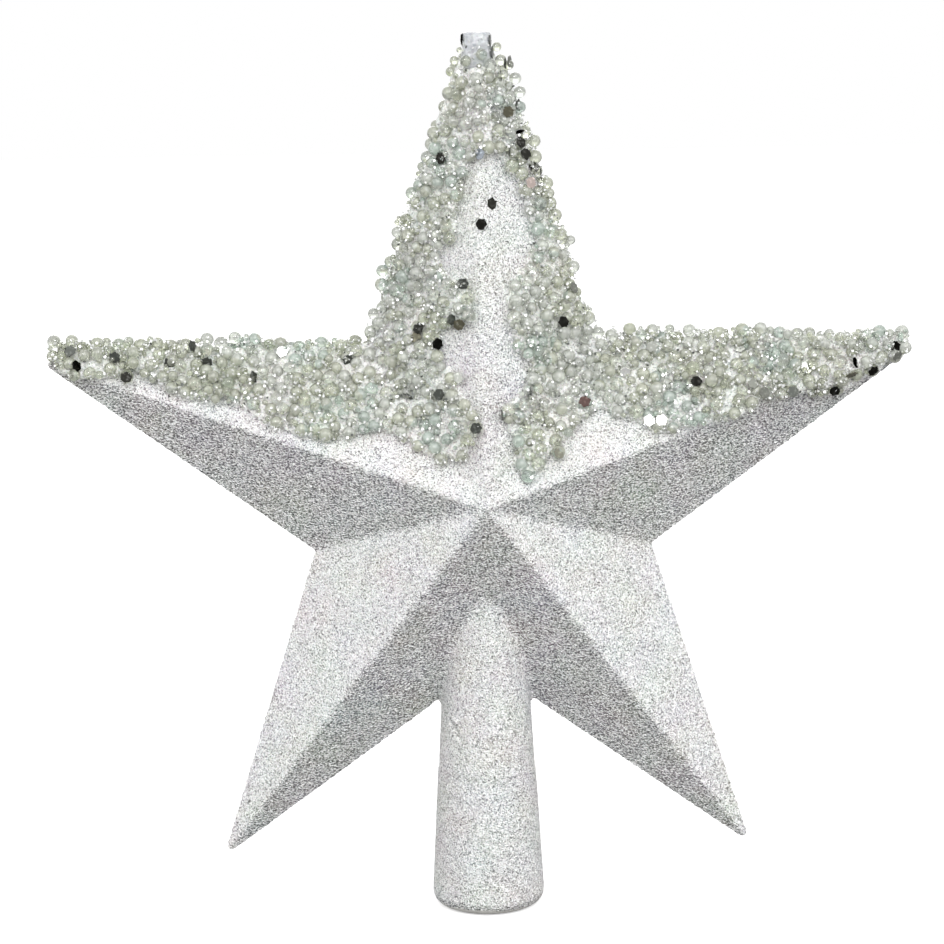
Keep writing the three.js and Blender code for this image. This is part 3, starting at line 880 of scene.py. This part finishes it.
class Heap:
    """Beads laid on the star one by one, each as low as the ones before it allow."""

    def __init__(self, star, crust):
        self.star = star
        self.crust = crust
        self.cell = 2.4 * crust.bead_radius
        self.cells = {}
        self.beads = []
        self.limits = []

    def key(self, x, z):
        """Cell of the grid that a place falls in."""
        return int(math.floor(x / self.cell)), int(math.floor(z / self.cell))

    def near(self, x, z):
        """Beads in the cells round a place."""
        column, row = self.key(x, z)
        for i in (column - 1, column, column + 1):
            for j in (row - 1, row, row + 1):
                yield from self.cells.get((i, j), ())

    def keep_clear(self, x, z, side, radius, top):
        """Nothing rises above a height round a place, as under a sequin."""
        self.limits.append((x, z, side, radius, top))

    def lay(self, x, z, side, radius, run, top, close=0.94):
        """Lays a bead at a place; tells whether it fitted under the top of the crust."""
        star = self.star
        for lx, lz, lside, reach, height in self.limits:
            if lside == side and math.hypot(lx - x, lz - z) < reach + 0.6 * radius:
                top = min(top, height)
        start = max(SUNK * radius, facet_distance(star) * (run / edge_distance(star) - 1))
        out = depth_at(run, start, star)
        limit = min(depth_at(run, top - radius, star), star.half_depth - radius)
        blocks = []
        for bx, by, bz, other in self.near(x, z):
            reach = close * (radius + other)
            left = reach * reach - (bx - x) ** 2 - (bz - z) ** 2
            if left > 0:
                blocks.append((side * by, math.sqrt(left)))
        moved = True
        while moved and out <= limit:
            moved = False
            for middle, half in blocks:
                if abs(out - middle) < half * 0.999:
                    out = middle + half
                    moved = True
        if out > limit or out < 0:
            return False
        bead = (x, side * out, z, radius)
        if start > 1.1 * radius and not self.held(bead):
            return False
        self.add(bead)
        return True

    def add(self, bead):
        """Keeps a bead."""
        self.beads.append(bead)
        self.cells.setdefault(self.key(bead[0], bead[2]), []).append(bead)

    def held(self, bead):
        """Whether a bead touches another one, or nearly."""
        x, y, z, radius = bead
        return any(
            math.dist((x, y, z), other[:3]) < 1.12 * (radius + other[3])
            for other in self.near(x, z))


def crust_places(count, margin, random, star, crust):
    """Random places on the crust, with the run of their facets, out past the rim."""
    x = (random.random(count) * 2 - 1) * star.reach
    z = 0.003 + random.random(count) * (crust.crust_top - 0.003)
    run = facet_run(x, z, star)
    past_rim = run - edge_distance(star)
    far_right = np.clip((x - 0.038) / 0.02, 0, 1)
    near_top = np.clip((z - 0.072) / 0.01, 0, 1) * (x < 0)
    reach = 1 + 0.45 * on_side_arm(x) + 0.12 * np.sign(x) - 0.6 * far_right - 0.4 * near_top
    for bulge_x, bulge_z, bulge in RIM_BULGES:
        off = np.hypot(x - bulge_x * MM, z - bulge_z * MM) / (3.2 * MM)
        reach += bulge * MM / crust.overhang * np.exp(-(off**2))
    keep = past_rim < crust.overhang * reach
    keep &= on_crust(x, z, margin)
    return x[keep], z[keep], run[keep]


def fill(heap, side, count, low, high, random, top_share=1.0, close=0.94):
    """Lays beads between two radii over one side; gives back those that found room."""
    star, crust = heap.star, heap.crust
    x, z, run = crust_places(count, 0.6 * low, random, star, crust)
    radii = low + (high - low) * random.random(len(x))
    tops = crust_top(x, z, crust) * top_share
    before = len(heap.beads)
    for px, pz, radius, far, top in zip(*(row.tolist() for row in (x, z, radii, run, tops))):
        if abs(px) + radius < star.reach:
            heap.lay(px, pz, side, radius, far, top, close)
    return heap.beads[before:]


def region_of(bead):
    """Name of the patch that a bead belongs to."""
    x, y, z = bead[:3]
    hand = "left" if x < 0.001 else "right"
    arm = "upright" if z > 0.73 * abs(x) + 0.0145 else "side"
    return f"{hand}_{arm}_{'front' if y < 0 else 'rear'}"


def by_region(beads):
    """Beads sorted by the patch that they belong to."""
    found = {}
    for bead in beads:
        found.setdefault(region_of(bead), []).append(bead)
    return sorted(found.items())


def lifted(beads, star):
    """Places of beads in the frame of the model, and their radii."""
    rows = np.array(beads)
    return rows[:, :3] + np.array([0, 0, star.height]), rows[:, 3]


def hexagon(across, thickness, bevel, wear=(0,) * 6):
    """Points and faces of a hexagonal plate with bevelled edges, lying in its own plane.

    The wear is how far each point of the outline lies inside the hexagon, as a share.
    """
    count = len(wear)
    outline = []
    for step, share in enumerate(wear):
        angle = step * 2 * math.pi / count
        off = angle % (math.pi / 3) - math.pi / 6
        outline.append((angle, across / 2 / math.cos(off) * (1 - share)))
    points = []
    for inset, height in (
            (bevel, -thickness / 2), (0, -thickness / 2 + bevel),
            (0, thickness / 2 - bevel), (bevel, thickness / 2)):
        points += [
            ((reach - inset) * math.cos(angle), (reach - inset) * math.sin(angle), height)
            for angle, reach in outline]
    faces = [tuple(range(count - 1, -1, -1)), tuple(range(3 * count, 4 * count))]
    for row in range(3):
        for step in range(count):
            following = (step + 1) % count
            faces.append((
                count * row + step, count * row + following,
                count * (row + 1) + following, count * (row + 1) + step))
    return points, faces


def laid_beads():
    """Middle and radius of every bead in the scene, apart from the seed beads."""
    template = ball(BEAD_ROUNDS)[0]
    middles, radii = [], []
    for piece in bpy.context.scene.objects:
        if piece.name.startswith(("clear_beads", "milky_beads")):
            points = arrays_of(piece.data)[0].reshape(-1, len(template), 3)
            middle = points.mean(axis=1)
            middles.append(middle)
            radii.append(np.linalg.norm(points - middle[:, None], axis=2).mean(axis=1))
    return np.concatenate(middles), np.concatenate(radii)


def way_down(points, inward, beads, star, crust):
    """How a plate moves inward until it is a little way into a bead, the glue or the coat."""
    middles, radii = beads
    middle = points.mean(axis=0)
    samples = np.concatenate([points, (points + middle) / 2, [middle]])
    glued = on_crust(samples[:, 0], samples[:, 2] - star.height, 0.6 * MM)
    bed = np.where(glued, 0.8 * crust.glue, 0)
    near = np.linalg.norm(middles - middle, axis=1) < 9 * MM
    middles, radii = middles[near], radii[near]
    room = abs(middle[1])
    moved = 0.0
    for _ in range(40):
        here = samples + inward * moved
        run = facet_run(here[:, 0], here[:, 2] - star.height, star)
        rise = np.abs(here[:, 1]) / star.half_depth + run / edge_distance(star) - 1
        gap = (facet_distance(star) * rise - bed).min() + RIDGE_LOSS * MM
        if len(middles):
            apart = np.linalg.norm(here[:, None] - middles, axis=2) - radii
            gap = min(gap, apart.min())
        gap += BITE * MM
        if gap < 0.01 * MM or moved == room:
            break
        moved = min(moved + gap, room)
    return inward * moved


def flake():
    """Points and triangles of a flake one unit wide."""
    build = opened(plain_mesh(*hexagon(1.0, FLAKE_THICKNESS, FLAKE_BEVEL)))
    bmesh.ops.triangulate(build, faces=build.faces[:])
    return closed(build)


# Operators


class TOPPER_OT_star(bpy.types.Operator):
    """Builds both glittered halves of the star with their neck"""

    bl_idname = "topper.star"
    bl_label = "Star halves"

    def execute(self, context):
        star, socket, _, colours, _ = sizes()
        random = np.random.default_rng(3)
        points, faces = remeshed(self.solid(star, socket), star.relief)
        depth = np.abs(points[:, 1])
        weight = np.clip((depth - SHARP_RIM * MM) / (RIM_FADE * MM), 0, 1)
        points = spread(points, faces, star.ridge_rounds, weight)
        points = self.blunt(points, star)
        normals = normals_of(points, faces)
        grains = random.random(len(points))
        lumps = random.random(len(points))
        inward = star.relief_depth * relief(grains, lumps, faces) + self.creases(points)
        jitter = (random.random(points.shape) - 0.5) * JITTER * star.relief
        points = roughened(points, normals, inward, jitter)
        triangles = split_quads(faces, random)
        material = glitter_material(star, colours)
        for place, side in SIDES.items():
            half = self.half(points, triangles, side)
            piece = make_piece(f"glitter_star_{place}", *half, material, "glitter_shell")
            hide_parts(f"{place}_shell")
        return {"FINISHED"}

    def solid(self, star, socket):
        """The star and the neck round the bore, as closed meshes for the skin."""
        rim = []
        for corner in range(2 * ARMS):
            radius = star.notch_radius if corner % 2 else star.tip_radius
            angle = math.pi / 2 + corner * HALF_STEP
            rim.append((radius * math.cos(angle), 0, star.height + radius * math.sin(angle)))
        peaks = [(0, -star.half_depth, star.height), (0, star.half_depth, star.height)]
        faces = []
        for corner in range(2 * ARMS):
            following = (corner + 1) % (2 * ARMS)
            faces.append((corner, following, 2 * ARMS))
            faces.append((following, corner, 2 * ARMS + 1))
        low = socket.step_height - NECK_LAP * MM
        profile = [
            (neck_radius(low, socket) - socket.neck_wall, low),
            (neck_radius(low, socket), low),
            (neck_radius(socket.neck_top, socket), socket.neck_top),
            (neck_radius(socket.neck_top, socket) - socket.neck_wall, socket.neck_top),
        ]
        return [plain_mesh(rim + peaks, faces), plain_mesh(*turned_mesh(profile, NECK_SIDES))]

    def creases(self, points):
        """How far the creases of the neck press each point in."""
        inward = np.zeros(len(points))
        places = points[:, [0, 2]] / MM
        for start, end, depth, width in NECK_CREASES:
            start, along = np.array(start), np.array(end) - np.array(start)
            share = np.clip((places - start) @ along / (along @ along), 0, 1)
            off = np.linalg.norm(places - start - share[:, None] * along, axis=1)
            inward += np.where(points[:, 1] < 0, depth * MM * np.exp(-((off / width) ** 2)), 0)
        return inward

    def blunt(self, points, star):
        """Rounds the ends of the arms."""
        local = points - np.array([0, 0, star.height])
        turn = 2 * HALF_STEP
        nearest = np.round((np.arctan2(local[:, 2], local[:, 0]) - math.pi / 2) / turn) * turn
        arm = np.stack([
            np.cos(math.pi / 2 + nearest), np.zeros(len(points)),
            np.sin(math.pi / 2 + nearest)], axis=1)
        reach = np.sum(local * arm, axis=1)
        start = star.tip_reach - TIP_BLUNT * MM
        over = np.maximum(reach - start, 0)
        room = star.tip_reach - start
        return points - arm * (over - room * np.tanh(over / room))[:, None]

    def half(self, points, triangles, side):
        """One half of the skin, closed along the seam."""
        build = opened(plain_mesh(points, triangles))
        everything = build.verts[:] + build.edges[:] + build.faces[:]
        cut = bmesh.ops.bisect_plane(
            build, geom=everything, plane_co=(0, side * SEAM * MM, 0), plane_no=(0, side, 0),
            clear_inner=True, dist=1e-6)
        edges = [item for item in cut["geom_cut"] if isinstance(item, bmesh.types.BMEdge)]
        bmesh.ops.triangle_fill(build, edges=edges, use_beauty=False, use_dissolve=False)
        bmesh.ops.triangulate(build, faces=[f for f in build.faces if len(f.verts) > 3])
        bmesh.ops.recalc_face_normals(build, faces=build.faces[:])
        return closed(build)


class TOPPER_OT_socket(bpy.types.Operator):
    """Builds the glittered socket"""

    bl_idname = "topper.socket"
    bl_label = "Socket"

    def execute(self, context):
        star, socket, _, colours, _ = sizes()
        random = np.random.default_rng(4)
        grain = star.relief * SOCKET_GRAIN
        outer, inner = self.profile(socket)
        fine = self.stepped(outer, grain)
        profile = fine + self.stepped(inner, 4 * grain)[1:-1]
        sides = int(2 * math.pi * socket.radius / grain)
        points, faces = turned_mesh(profile, sides)
        normals = normals_of(points, faces)
        outward = np.repeat(np.arange(len(profile)) < len(fine) - 1, sides)
        lumps = random.random(len(points))
        inward = star.relief_depth * relief(random.random(len(points)), lumps, faces)
        inward *= outward * np.clip(points[:, 2] / MM - SMOOTH_RIM, 0, 1)
        jitter = (random.random(points.shape) - 0.5) * JITTER * grain * outward[:, None]
        points = roughened(points, normals, inward, jitter)
        points[:, 2] = np.maximum(points[:, 2], 0)
        material = glitter_material(star, colours)
        piece = make_piece(
            "glitter_socket", points, split_quads(faces, random), material, "glitter_socket")
        bare = np.repeat(np.arange(len(profile)) >= len(fine) - 1, sides)
        middle = points[faces].mean(axis=1)
        turn = np.arctan2(middle[:, 1], middle[:, 0])
        edge = BARE_RIM + 0.22 * np.sin(3 * turn + 1) + 0.12 * np.sin(11 * turn)
        bare |= middle[:, 2] < edge * MM
        piece.data.materials.append(plastic_material())
        piece.data.polygons.foreach_set("material_index", np.tile(bare, 2).astype(np.int32))
        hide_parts("socket_sleeve")
        return {"FINISHED"}

    def profile(self, socket):
        """Outer and inner line of the socket's section, as [radius, height] points."""
        def outside(height):
            return socket.radius - socket.taper * height

        def spigot(height):
            return neck_radius(height, socket) - socket.neck_wall - socket.spigot_gap

        outer = [(socket.mouth_radius, 0.0)]
        centre = outside(socket.rim_round) - socket.rim_round
        for step in range(13):
            turn = step / 12 * math.pi / 2
            outer.append((
                centre + socket.rim_round * math.sin(turn),
                socket.rim_round * (1 - math.cos(turn))))
        step_height = socket.step_height
        outer.append((outside(step_height), step_height))
        outer.append((spigot(step_height), step_height))
        inner = [
            (spigot(step_height), step_height),
            (spigot(socket.top), socket.top),
            (spigot(socket.top) - socket.wall, socket.top),
            (spigot(step_height) - socket.wall, step_height),
            (outside(step_height - 4 * MM) - socket.wall, step_height - 4 * MM),
            (outside(socket.rim_round) - socket.wall, socket.rim_round),
            (socket.mouth_radius, socket.wall),
            (socket.mouth_radius, 0.0),
        ]
        return outer, inner

    def stepped(self, line, step):
        """A line with its runs split into even steps."""
        found = [line[0]]
        for a, b in zip(line, line[1:]):
            parts = max(1, round(math.dist(a, b) / step))
            for part in range(1, parts + 1):
                share = part / parts
                found.append((a[0] + (b[0] - a[0]) * share, a[1] + (b[1] - a[1]) * share))
        return found


def sequin_lift(covered, crust):
    """Height of the middle of a sequin over its facet."""
    return (0.55 if covered else 0.86) * crust.thickness


def sequin_places():
    """Every sequin: its number, side, row of sizes and whether it stands for a node."""
    front = [*FRONT_SEQUINS, *MORE_SEQUINS]
    rows = [("front", n, row, n <= len(FRONT_SEQUINS)) for n, row in enumerate(front, 1)]
    return rows + [("rear", n, row, True) for n, row in enumerate(REAR_SEQUINS, 1)]


class TOPPER_OT_sequins(bpy.types.Operator):
    """Lays the mirror sequins among the beads"""

    bl_idname = "topper.sequins"
    bl_label = "Mirror sequins"

    def execute(self, context):
        star, _, crust, _, stage = sizes()
        random = np.random.default_rng(8)
        beads = laid_beads()
        for place, number, (x, z, turn, lean, tone, covered), stands in sequin_places():
            side = SIDES[place]
            x, z = x * MM, z * MM
            depth = float(facet_depth(x, z, sequin_lift(covered, crust), star))
            spot = Vector((x, side * max(depth, 0), z + star.height))
            eye = Vector(stage.camera_place)
            eye.y = side * abs(eye.y)
            aim = facet_normal(x, z, side, star) + Vector(random.normal(size=3)) * UNEVEN
            if tone == "silver" and place == "front":
                aim = self.glint(spot, stage)
            name = f"sequin_{place}_{number:02d}"
            points, faces = self.plate(crust, random, spot, aim, turn, lean)
            down = way_down(points, np.array((spot - eye).normalized()), beads, star, crust)
            piece = make_piece(
                name, points + down, faces, sequin_material(tone), "mirror_sequin")
            if stands:
                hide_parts(f"mirror_{name}")
        for number, (x, y, z, turn, lean, tone) in enumerate(CROWN_SEQUINS, 1):
            spot = Vector((x, y, z)) * MM + Vector((0, 0, star.height))
            points, faces = self.plate(crust, random, spot, Vector((0, -1, 0)), turn, lean)
            make_piece(
                f"sequin_crown_{number:02d}", points, faces, sequin_material(tone),
                "mirror_sequin")
        return {"FINISHED"}

    def plate(self, crust, random, spot, aim, turn, lean):
        """One sequin with a worn edge that faces a direction, turned and leaned from it."""
        points, faces = hexagon(
            crust.sequin, crust.sequin_thickness, SEQUIN_BEVEL * MM,
            SEQUIN_WEAR * random.random(SEQUIN_POINTS) ** 2)
        level = aim.normalized().to_track_quat("Z", "Y").to_matrix().to_4x4()
        leaned = Matrix.Rotation(math.radians(abs(lean)), 4, "Y" if lean > 0 else "X")
        spin = Matrix.Rotation(math.radians(turn), 4, "Z")
        place = Matrix.Translation(spot) @ level @ leaned @ spin
        return np.array([place @ Vector(point) for point in points]), faces

    def glint(self, spot, stage):
        """Direction that a mirror faces to throw the key lamp at the camera."""
        to_lamp = (Vector(stage.key_place) - spot).normalized()
        to_eye = (Vector(stage.camera_place) - spot).normalized()
        return to_lamp + to_eye


class TOPPER_OT_crust(bpy.types.Operator):
    """Heaps glass beads and fine flakes on the upper half of the star"""

    bl_idname = "topper.crust"
    bl_label = "Bead crust"

    def execute(self, context):
        star, _, crust, colours, _ = sizes()
        random = np.random.default_rng(11)
        heap = Heap(star, crust)
        for place, _, (x, z, _, _, _, covered), _ in sequin_places():
            reach, top = (0.3, 0.9) if covered else (0.5, 0.84)
            heap.keep_clear(
                x * MM, z * MM, SIDES[place], reach * crust.sequin, top * crust.thickness)
        radius = crust.bead_radius
        large = [tuple(value * MM for value in row) for row in CROWN_BEADS]
        large += self.seats(star, crust)
        for bead in large:
            heap.add(bead)
        seeds, chips = [], []
        for side in SIDES.values():
            large += fill(heap, side, LARGE_TRIES, 0.86 * radius, 1.04 * radius, random)
            large += fill(heap, side, SMALL_TRIES, 0.60 * radius, 0.85 * radius, random)
        radius = crust.seed_radius
        for side in SIDES.values():
            seeds += fill(heap, side, SEED_TRIES, 0.7 * radius, 1.3 * radius, random, 0.92)
        radius = crust.flake
        for side in SIDES.values():
            chips += fill(
                heap, side, FLAKE_TRIES, 0.20 * radius, 0.45 * radius, random, 1.0, 1.0)
        milky = random.random(len(large)) < MILKY_SHARE
        milky[:len(CROWN_BEADS)] = False
        clear = [bead for bead, cloudy in zip(large, milky) if not cloudy]
        cloudy = [bead for bead, cloudy in zip(large, milky) if cloudy]
        self.beads("clear_beads", clear, ball(BEAD_ROUNDS), glass_material(
            "clear glass", colours, 0.10, 0.88, 1.0))
        self.beads("milky_beads", cloudy, ball(BEAD_ROUNDS), glass_material(
            "milky glass", colours, 0.24, 0.64, 0.90))
        self.beads("seed_beads", seeds, ball(2), glass_material(
            "seed glass", colours, 0.08, 0.80, 1.0))
        self.flakes(chips, star, random)
        return {"FINISHED"}

    def seats(self, star, crust):
        """Beads under the sequins that lie on the very edge of the crust."""
        found = []
        for place, _, (x, z, _, _, _, covered), stands in sequin_places():
            x, z = x * MM, z * MM
            if stands and not on_crust(np.array([x]), np.array([z]), 1.3 * MM)[0]:
                radius = sequin_lift(covered, crust) / 2
                depth = float(facet_depth(x, z, radius, star))
                found.append((x, SIDES[place] * max(depth, 0), z, radius))
        return found

    def beads(self, name, beads, template, material):
        """Joins the beads of each patch into one piece."""
        star = sizes()[0]
        random = np.random.default_rng(12)
        for region, group in by_region(beads):
            places, radii = lifted(group, star)
            points, faces = scattered(template, places, radii, random, 0.03)
            make_piece(f"{name}_{region}", points, faces, material, "glass_beads", True)

    def flakes(self, chips, star, random):
        """Fine flakes that lie every way between the beads."""
        for region, group in by_region(chips):
            places, radii = lifted(group, star)
            points, faces = scattered(flake(), places, 2.0 * radii, random)
            make_piece(f"fine_flakes_{region}", points, faces, flake_material(), "crown_flakes")


class TOPPER_OT_glue(bpy.types.Operator):
    """Spreads the bed of clear glue that the beads stand in"""

    bl_idname = "topper.glue"
    bl_label = "Glue bed"

    def execute(self, context):
        star, _, crust, colours, _ = sizes()
        random = np.random.default_rng(21)
        drops = []
        for side in SIDES.values():
            x, z, run = crust_places(DROP_TRIES, crust.glue * 0.7, random, star, crust)
            taken = set()
            step = DROP_STEP * MM
            for px, pz, pr in zip(x.tolist(), z.tolist(), run.tolist()):
                key = (round(px / step), round(pz / step))
                start = facet_distance(star) * (pr / edge_distance(star) - 1)
                if key in taken or start > 0.5 * MM:
                    continue
                taken.add(key)
                depth = depth_at(pr, max(start, random.random() * 0.3 * MM), star)
                radius = crust.glue * (0.75 + 0.5 * random.random())
                if abs(px) + radius < star.reach:
                    drops.append((px, side * depth, pz, radius))
        material = glue_material(colours)
        for hand, sign in (("left", -1), ("right", 1)):
            group = [drop for drop in drops if (drop[0] - 0.001) * sign > -0.0012]
            places, radii = lifted(group, star)
            rough = scattered(ball(2), places, radii, random)
            points, faces = remeshed([plain_mesh(*rough)], 0.5 * MM)
            points = spread(points, faces, 2)
            points = self.seated(points, star)
            piece = make_piece(f"glue_bed_{hand}", points, faces, material, "glass_beads", True)
            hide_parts(f"bead_crust_{hand}")
        return {"FINISHED"}

    def seated(self, points, star):
        """Lays the underside of the glue flat just under the grains of the coat."""
        run = facet_run(points[:, 0], points[:, 2] - star.height, star)
        floor = depth_at(run, -GLUE_SINK * MM, star)
        low = np.abs(points[:, 1]) < floor
        points[low, 1] = np.sign(points[low, 1]) * floor[low]
        return points


class TOPPER_OT_crown(bpy.types.Operator):
    """Builds the clump on the top point"""

    bl_idname = "topper.crown"
    bl_label = "Crown"

    def execute(self, context):
        star, _, crust, colours, _ = sizes()
        random = np.random.default_rng(31)
        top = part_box("crown_cluster")[1].z - 0.1 * MM
        drops = []
        for level in range(5):
            height = top - star.height - (1.0 + 1.4 * level) * MM
            for turn in range(7):
                angle = turn * 2 * math.pi / 7 + level
                reach = (1.75 + 0.12 * level) * MM
                drops.append((
                    reach * math.cos(angle), 0.75 * reach * math.sin(angle), height,
                    (1.2 + 0.4 * random.random()) * MM))
        places, radii = lifted(drops, star)
        rough = scattered(ball(2), places, radii, random)
        points, faces = remeshed([plain_mesh(*rough)], 0.35 * MM)
        points = spread(points, faces, 3)
        points[:, 2] = np.minimum(points[:, 2], top)
        piece = make_piece(
            "crown_glue", points, faces, crown_material(), "crown_flakes", True)
        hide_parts("crown_cluster")
        count = 90
        angles = 2 * math.pi * random.random(count)
        drop = 1.2 + 6.5 * random.random(count)
        far = 3.0 + 0.11 * drop
        places = np.stack([
            far * np.cos(angles) * MM, 0.8 * far * np.sin(angles) * MM, top - drop * MM], axis=1)
        widths = crust.flake * (0.45 + 0.5 * random.random(count))
        points, faces = scattered(flake(), places, widths, random)
        make_piece("crown_flakes", points, faces, flake_material(), "crown_flakes")
        return {"FINISHED"}


class TOPPER_OT_stage(bpy.types.Operator):
    """Sets up the camera, lamps, sky and floor"""

    bl_idname = "topper.stage"
    bl_label = "Stage"

    def execute(self, context):
        stage = sizes()[4]
        context.scene.view_settings.view_transform = "Standard"
        self.camera(context, stage)
        self.sky(context, stage)
        for name, place, width, power in (
                ("key lamp", stage.key_place, 1.1, stage.key_power),
                ("left lamp", (-0.45, -0.95, 0.75), SPARK_LAMP, stage.spark_power),
                ("right lamp", (0.50, -0.95, 0.70), SPARK_LAMP, stage.spark_power),
                ("left side lamp", (-1.1, -0.45, 0.35), SIDE_LAMP, stage.side_power),
                ("right side lamp", (1.1, -0.45, 0.35), SIDE_LAMP, stage.side_power),
                ("rear lamp", (0, 1.2, 0.8), 1.0, stage.rear_power)):
            self.lamp(name, place, width, power)
        self.floor()
        return {"FINISHED"}

    def aimed(self, place, aim):
        """Stands a thing at a place so that it looks at another."""
        place, aim = Vector(place), Vector(aim)
        level = (aim - place).to_track_quat("-Z", "Y").to_matrix().to_4x4()
        return Matrix.Translation(place) @ level

    def camera(self, context, stage):
        """Camera at the photograph's viewing angle."""
        data = bpy.data.cameras.new("camera")
        data.lens = stage.lens
        data.sensor_width = 36.0
        camera = add_object("camera", data)
        camera.matrix_world = self.aimed(stage.camera_place, stage.camera_aim) @ (
            Matrix.Rotation(stage.camera_roll, 4, "Z"))
        context.scene.camera = camera

    def sky(self, context, stage):
        """Soft sky, brighter above, and white where the camera sees it."""
        world = bpy.data.worlds.new("studio")
        world.use_nodes = True
        context.scene.world = world
        tree = world.node_tree
        soft = tree.nodes["Background"]
        white = add_node(tree, "Background", {"Color": (1, 1, 1, 1)})
        spot = add_node(tree, "TexCoord").outputs["Generated"]
        upward = add_node(tree, "SeparateXYZ", {"Vector": spot}).outputs["Z"]
        path = add_node(tree, "LightPath").outputs
        sky, backdrop = (
            add_node(tree, "MapRange", {
                "Value": upward, "From Min": -1.0, "To Min": low, "To Max": high,
            }).outputs["Result"]
            for low, high in (
                (stage.sky_bottom, stage.sky_top),
                (stage.backdrop_bottom, stage.backdrop_top)))
        strength = add_node(tree, "Mix", {
            "Factor": self.mirrored(tree, path), 2: sky, 3: backdrop})
        feed(tree, soft, {"Color": (1, 1, 1, 1), "Strength": strength.outputs[0]})
        mixed = add_node(tree, "MixShader", {
            "Fac": path["Is Camera Ray"], 1: soft.outputs["Background"],
            2: white.outputs["Background"]})
        feed(tree, tree.nodes["World Output"], {"Surface": mixed.outputs["Shader"]})

    def mirrored(self, tree, path):
        """One for a ray that comes from metal or through glass."""
        return maths(tree, "MAXIMUM", path["Is Glossy Ray"], path["Is Transmission Ray"])

    def lamp(self, name, place, width, power):
        """A square soft lamp aimed at the star."""
        data = bpy.data.lights.new(name, "AREA")
        data.shape = "SQUARE"
        data.size = width
        data.energy = power
        add_object(name, data).matrix_world = self.aimed(place, LAMP_AIM)

    def floor(self):
        """Pale floor that keeps the shadow and is seen as white."""
        mesh = plain_mesh(
            [(-3, -3, 0), (3, -3, 0), (3, 3, 0), (-3, 3, 0)], [(0, 1, 2, 3)])
        floor = add_object("floor", mesh)
        floor.location.z = -0.1 * MM
        material, tree, shader = new_material("floor paper")
        path = add_node(tree, "LightPath").outputs
        seen = path["Is Camera Ray"]
        paper = mix_colour(
            tree, self.mirrored(tree, path), (0.50, 0.50, 0.50, 1), (0.41, 0.41, 0.41, 1))
        feed(tree, shader, {
            "Base Color": mix_colour(tree, seen, paper, (0.9, 0.9, 0.9, 1)),
            "Roughness": 1.0, "Specular IOR Level": 0.0, "Emission Color": (1, 1, 1, 1),
            "Emission Strength": maths(tree, "MULTIPLY", seen, 0.5)})
        # From below the floor is not there.
        mixed = add_node(tree, "MixShader", {
            "Fac": add_node(tree, "NewGeometry").outputs["Backfacing"],
            1: shader.outputs["BSDF"],
            2: add_node(tree, "BsdfTransparent").outputs["BSDF"]})
        feed(tree, tree.nodes["Material Output"], {"Surface": mixed.outputs["Shader"]})
        floor.data.materials.append(material)
        floor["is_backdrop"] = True


class TOPPER_PT_pieces(bpy.types.Panel):
    """Lists the pieces of the topper"""

    bl_idname = "TOPPER_PT_pieces"
    bl_label = "Tree Topper"
    bl_space_type = "VIEW_3D"
    bl_region_type = "UI"
    bl_category = "Topper"

    def draw(self, context):
        for operator in OPERATORS:
            self.layout.operator(operator.bl_idname)
        for name in ("star", "socket", "crust", "colours", "stage"):
            settings = getattr(context.scene, f"topper_{name}")
            box = self.layout.box()
            box.label(text=name.capitalize())
            for key in settings.__annotations__:
                box.prop(settings, key)


OPERATORS = (
    TOPPER_OT_stage,
    TOPPER_OT_star,
    TOPPER_OT_socket,
    TOPPER_OT_glue,
    TOPPER_OT_crust,
    TOPPER_OT_sequins,
    TOPPER_OT_crown,
)
GROUPS = {
    "topper_star": StarSizes,
    "topper_socket": SocketSizes,
    "topper_crust": CrustSizes,
    "topper_colours": FinishColours,
    "topper_stage": StageSettings,
}


def register():
    """Adds the classes and the sizes to Blender."""
    for group in (*GROUPS.values(), *OPERATORS, TOPPER_PT_pieces):
        bpy.utils.register_class(group)
    for name, group in GROUPS.items():
        setattr(bpy.types.Scene, name, PointerProperty(type=group))


def unregister():
    """Takes them out again."""
    for name in GROUPS:
        delattr(bpy.types.Scene, name)
    for group in (TOPPER_PT_pieces, *reversed(OPERATORS), *reversed(GROUPS.values())):
        bpy.utils.unregister_class(group)


def corners(box):
    """Lowest and highest corner as plain numbers."""
    return [[round(value, 6) for value in corner] for corner in box]


def main():
    """Builds the topper and works out its size beside the model's, which it does not keep."""
    register()
    cad = corners(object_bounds())
    bpy.ops.topper.stage()
    bpy.ops.topper.star()
    bpy.ops.topper.socket()
    bpy.ops.topper.glue()
    bpy.ops.topper.crust()
    bpy.ops.topper.sequins()
    bpy.ops.topper.crown()
    {"cad": cad, "visual": corners(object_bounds())}


if __name__ == "__main__":
    main()
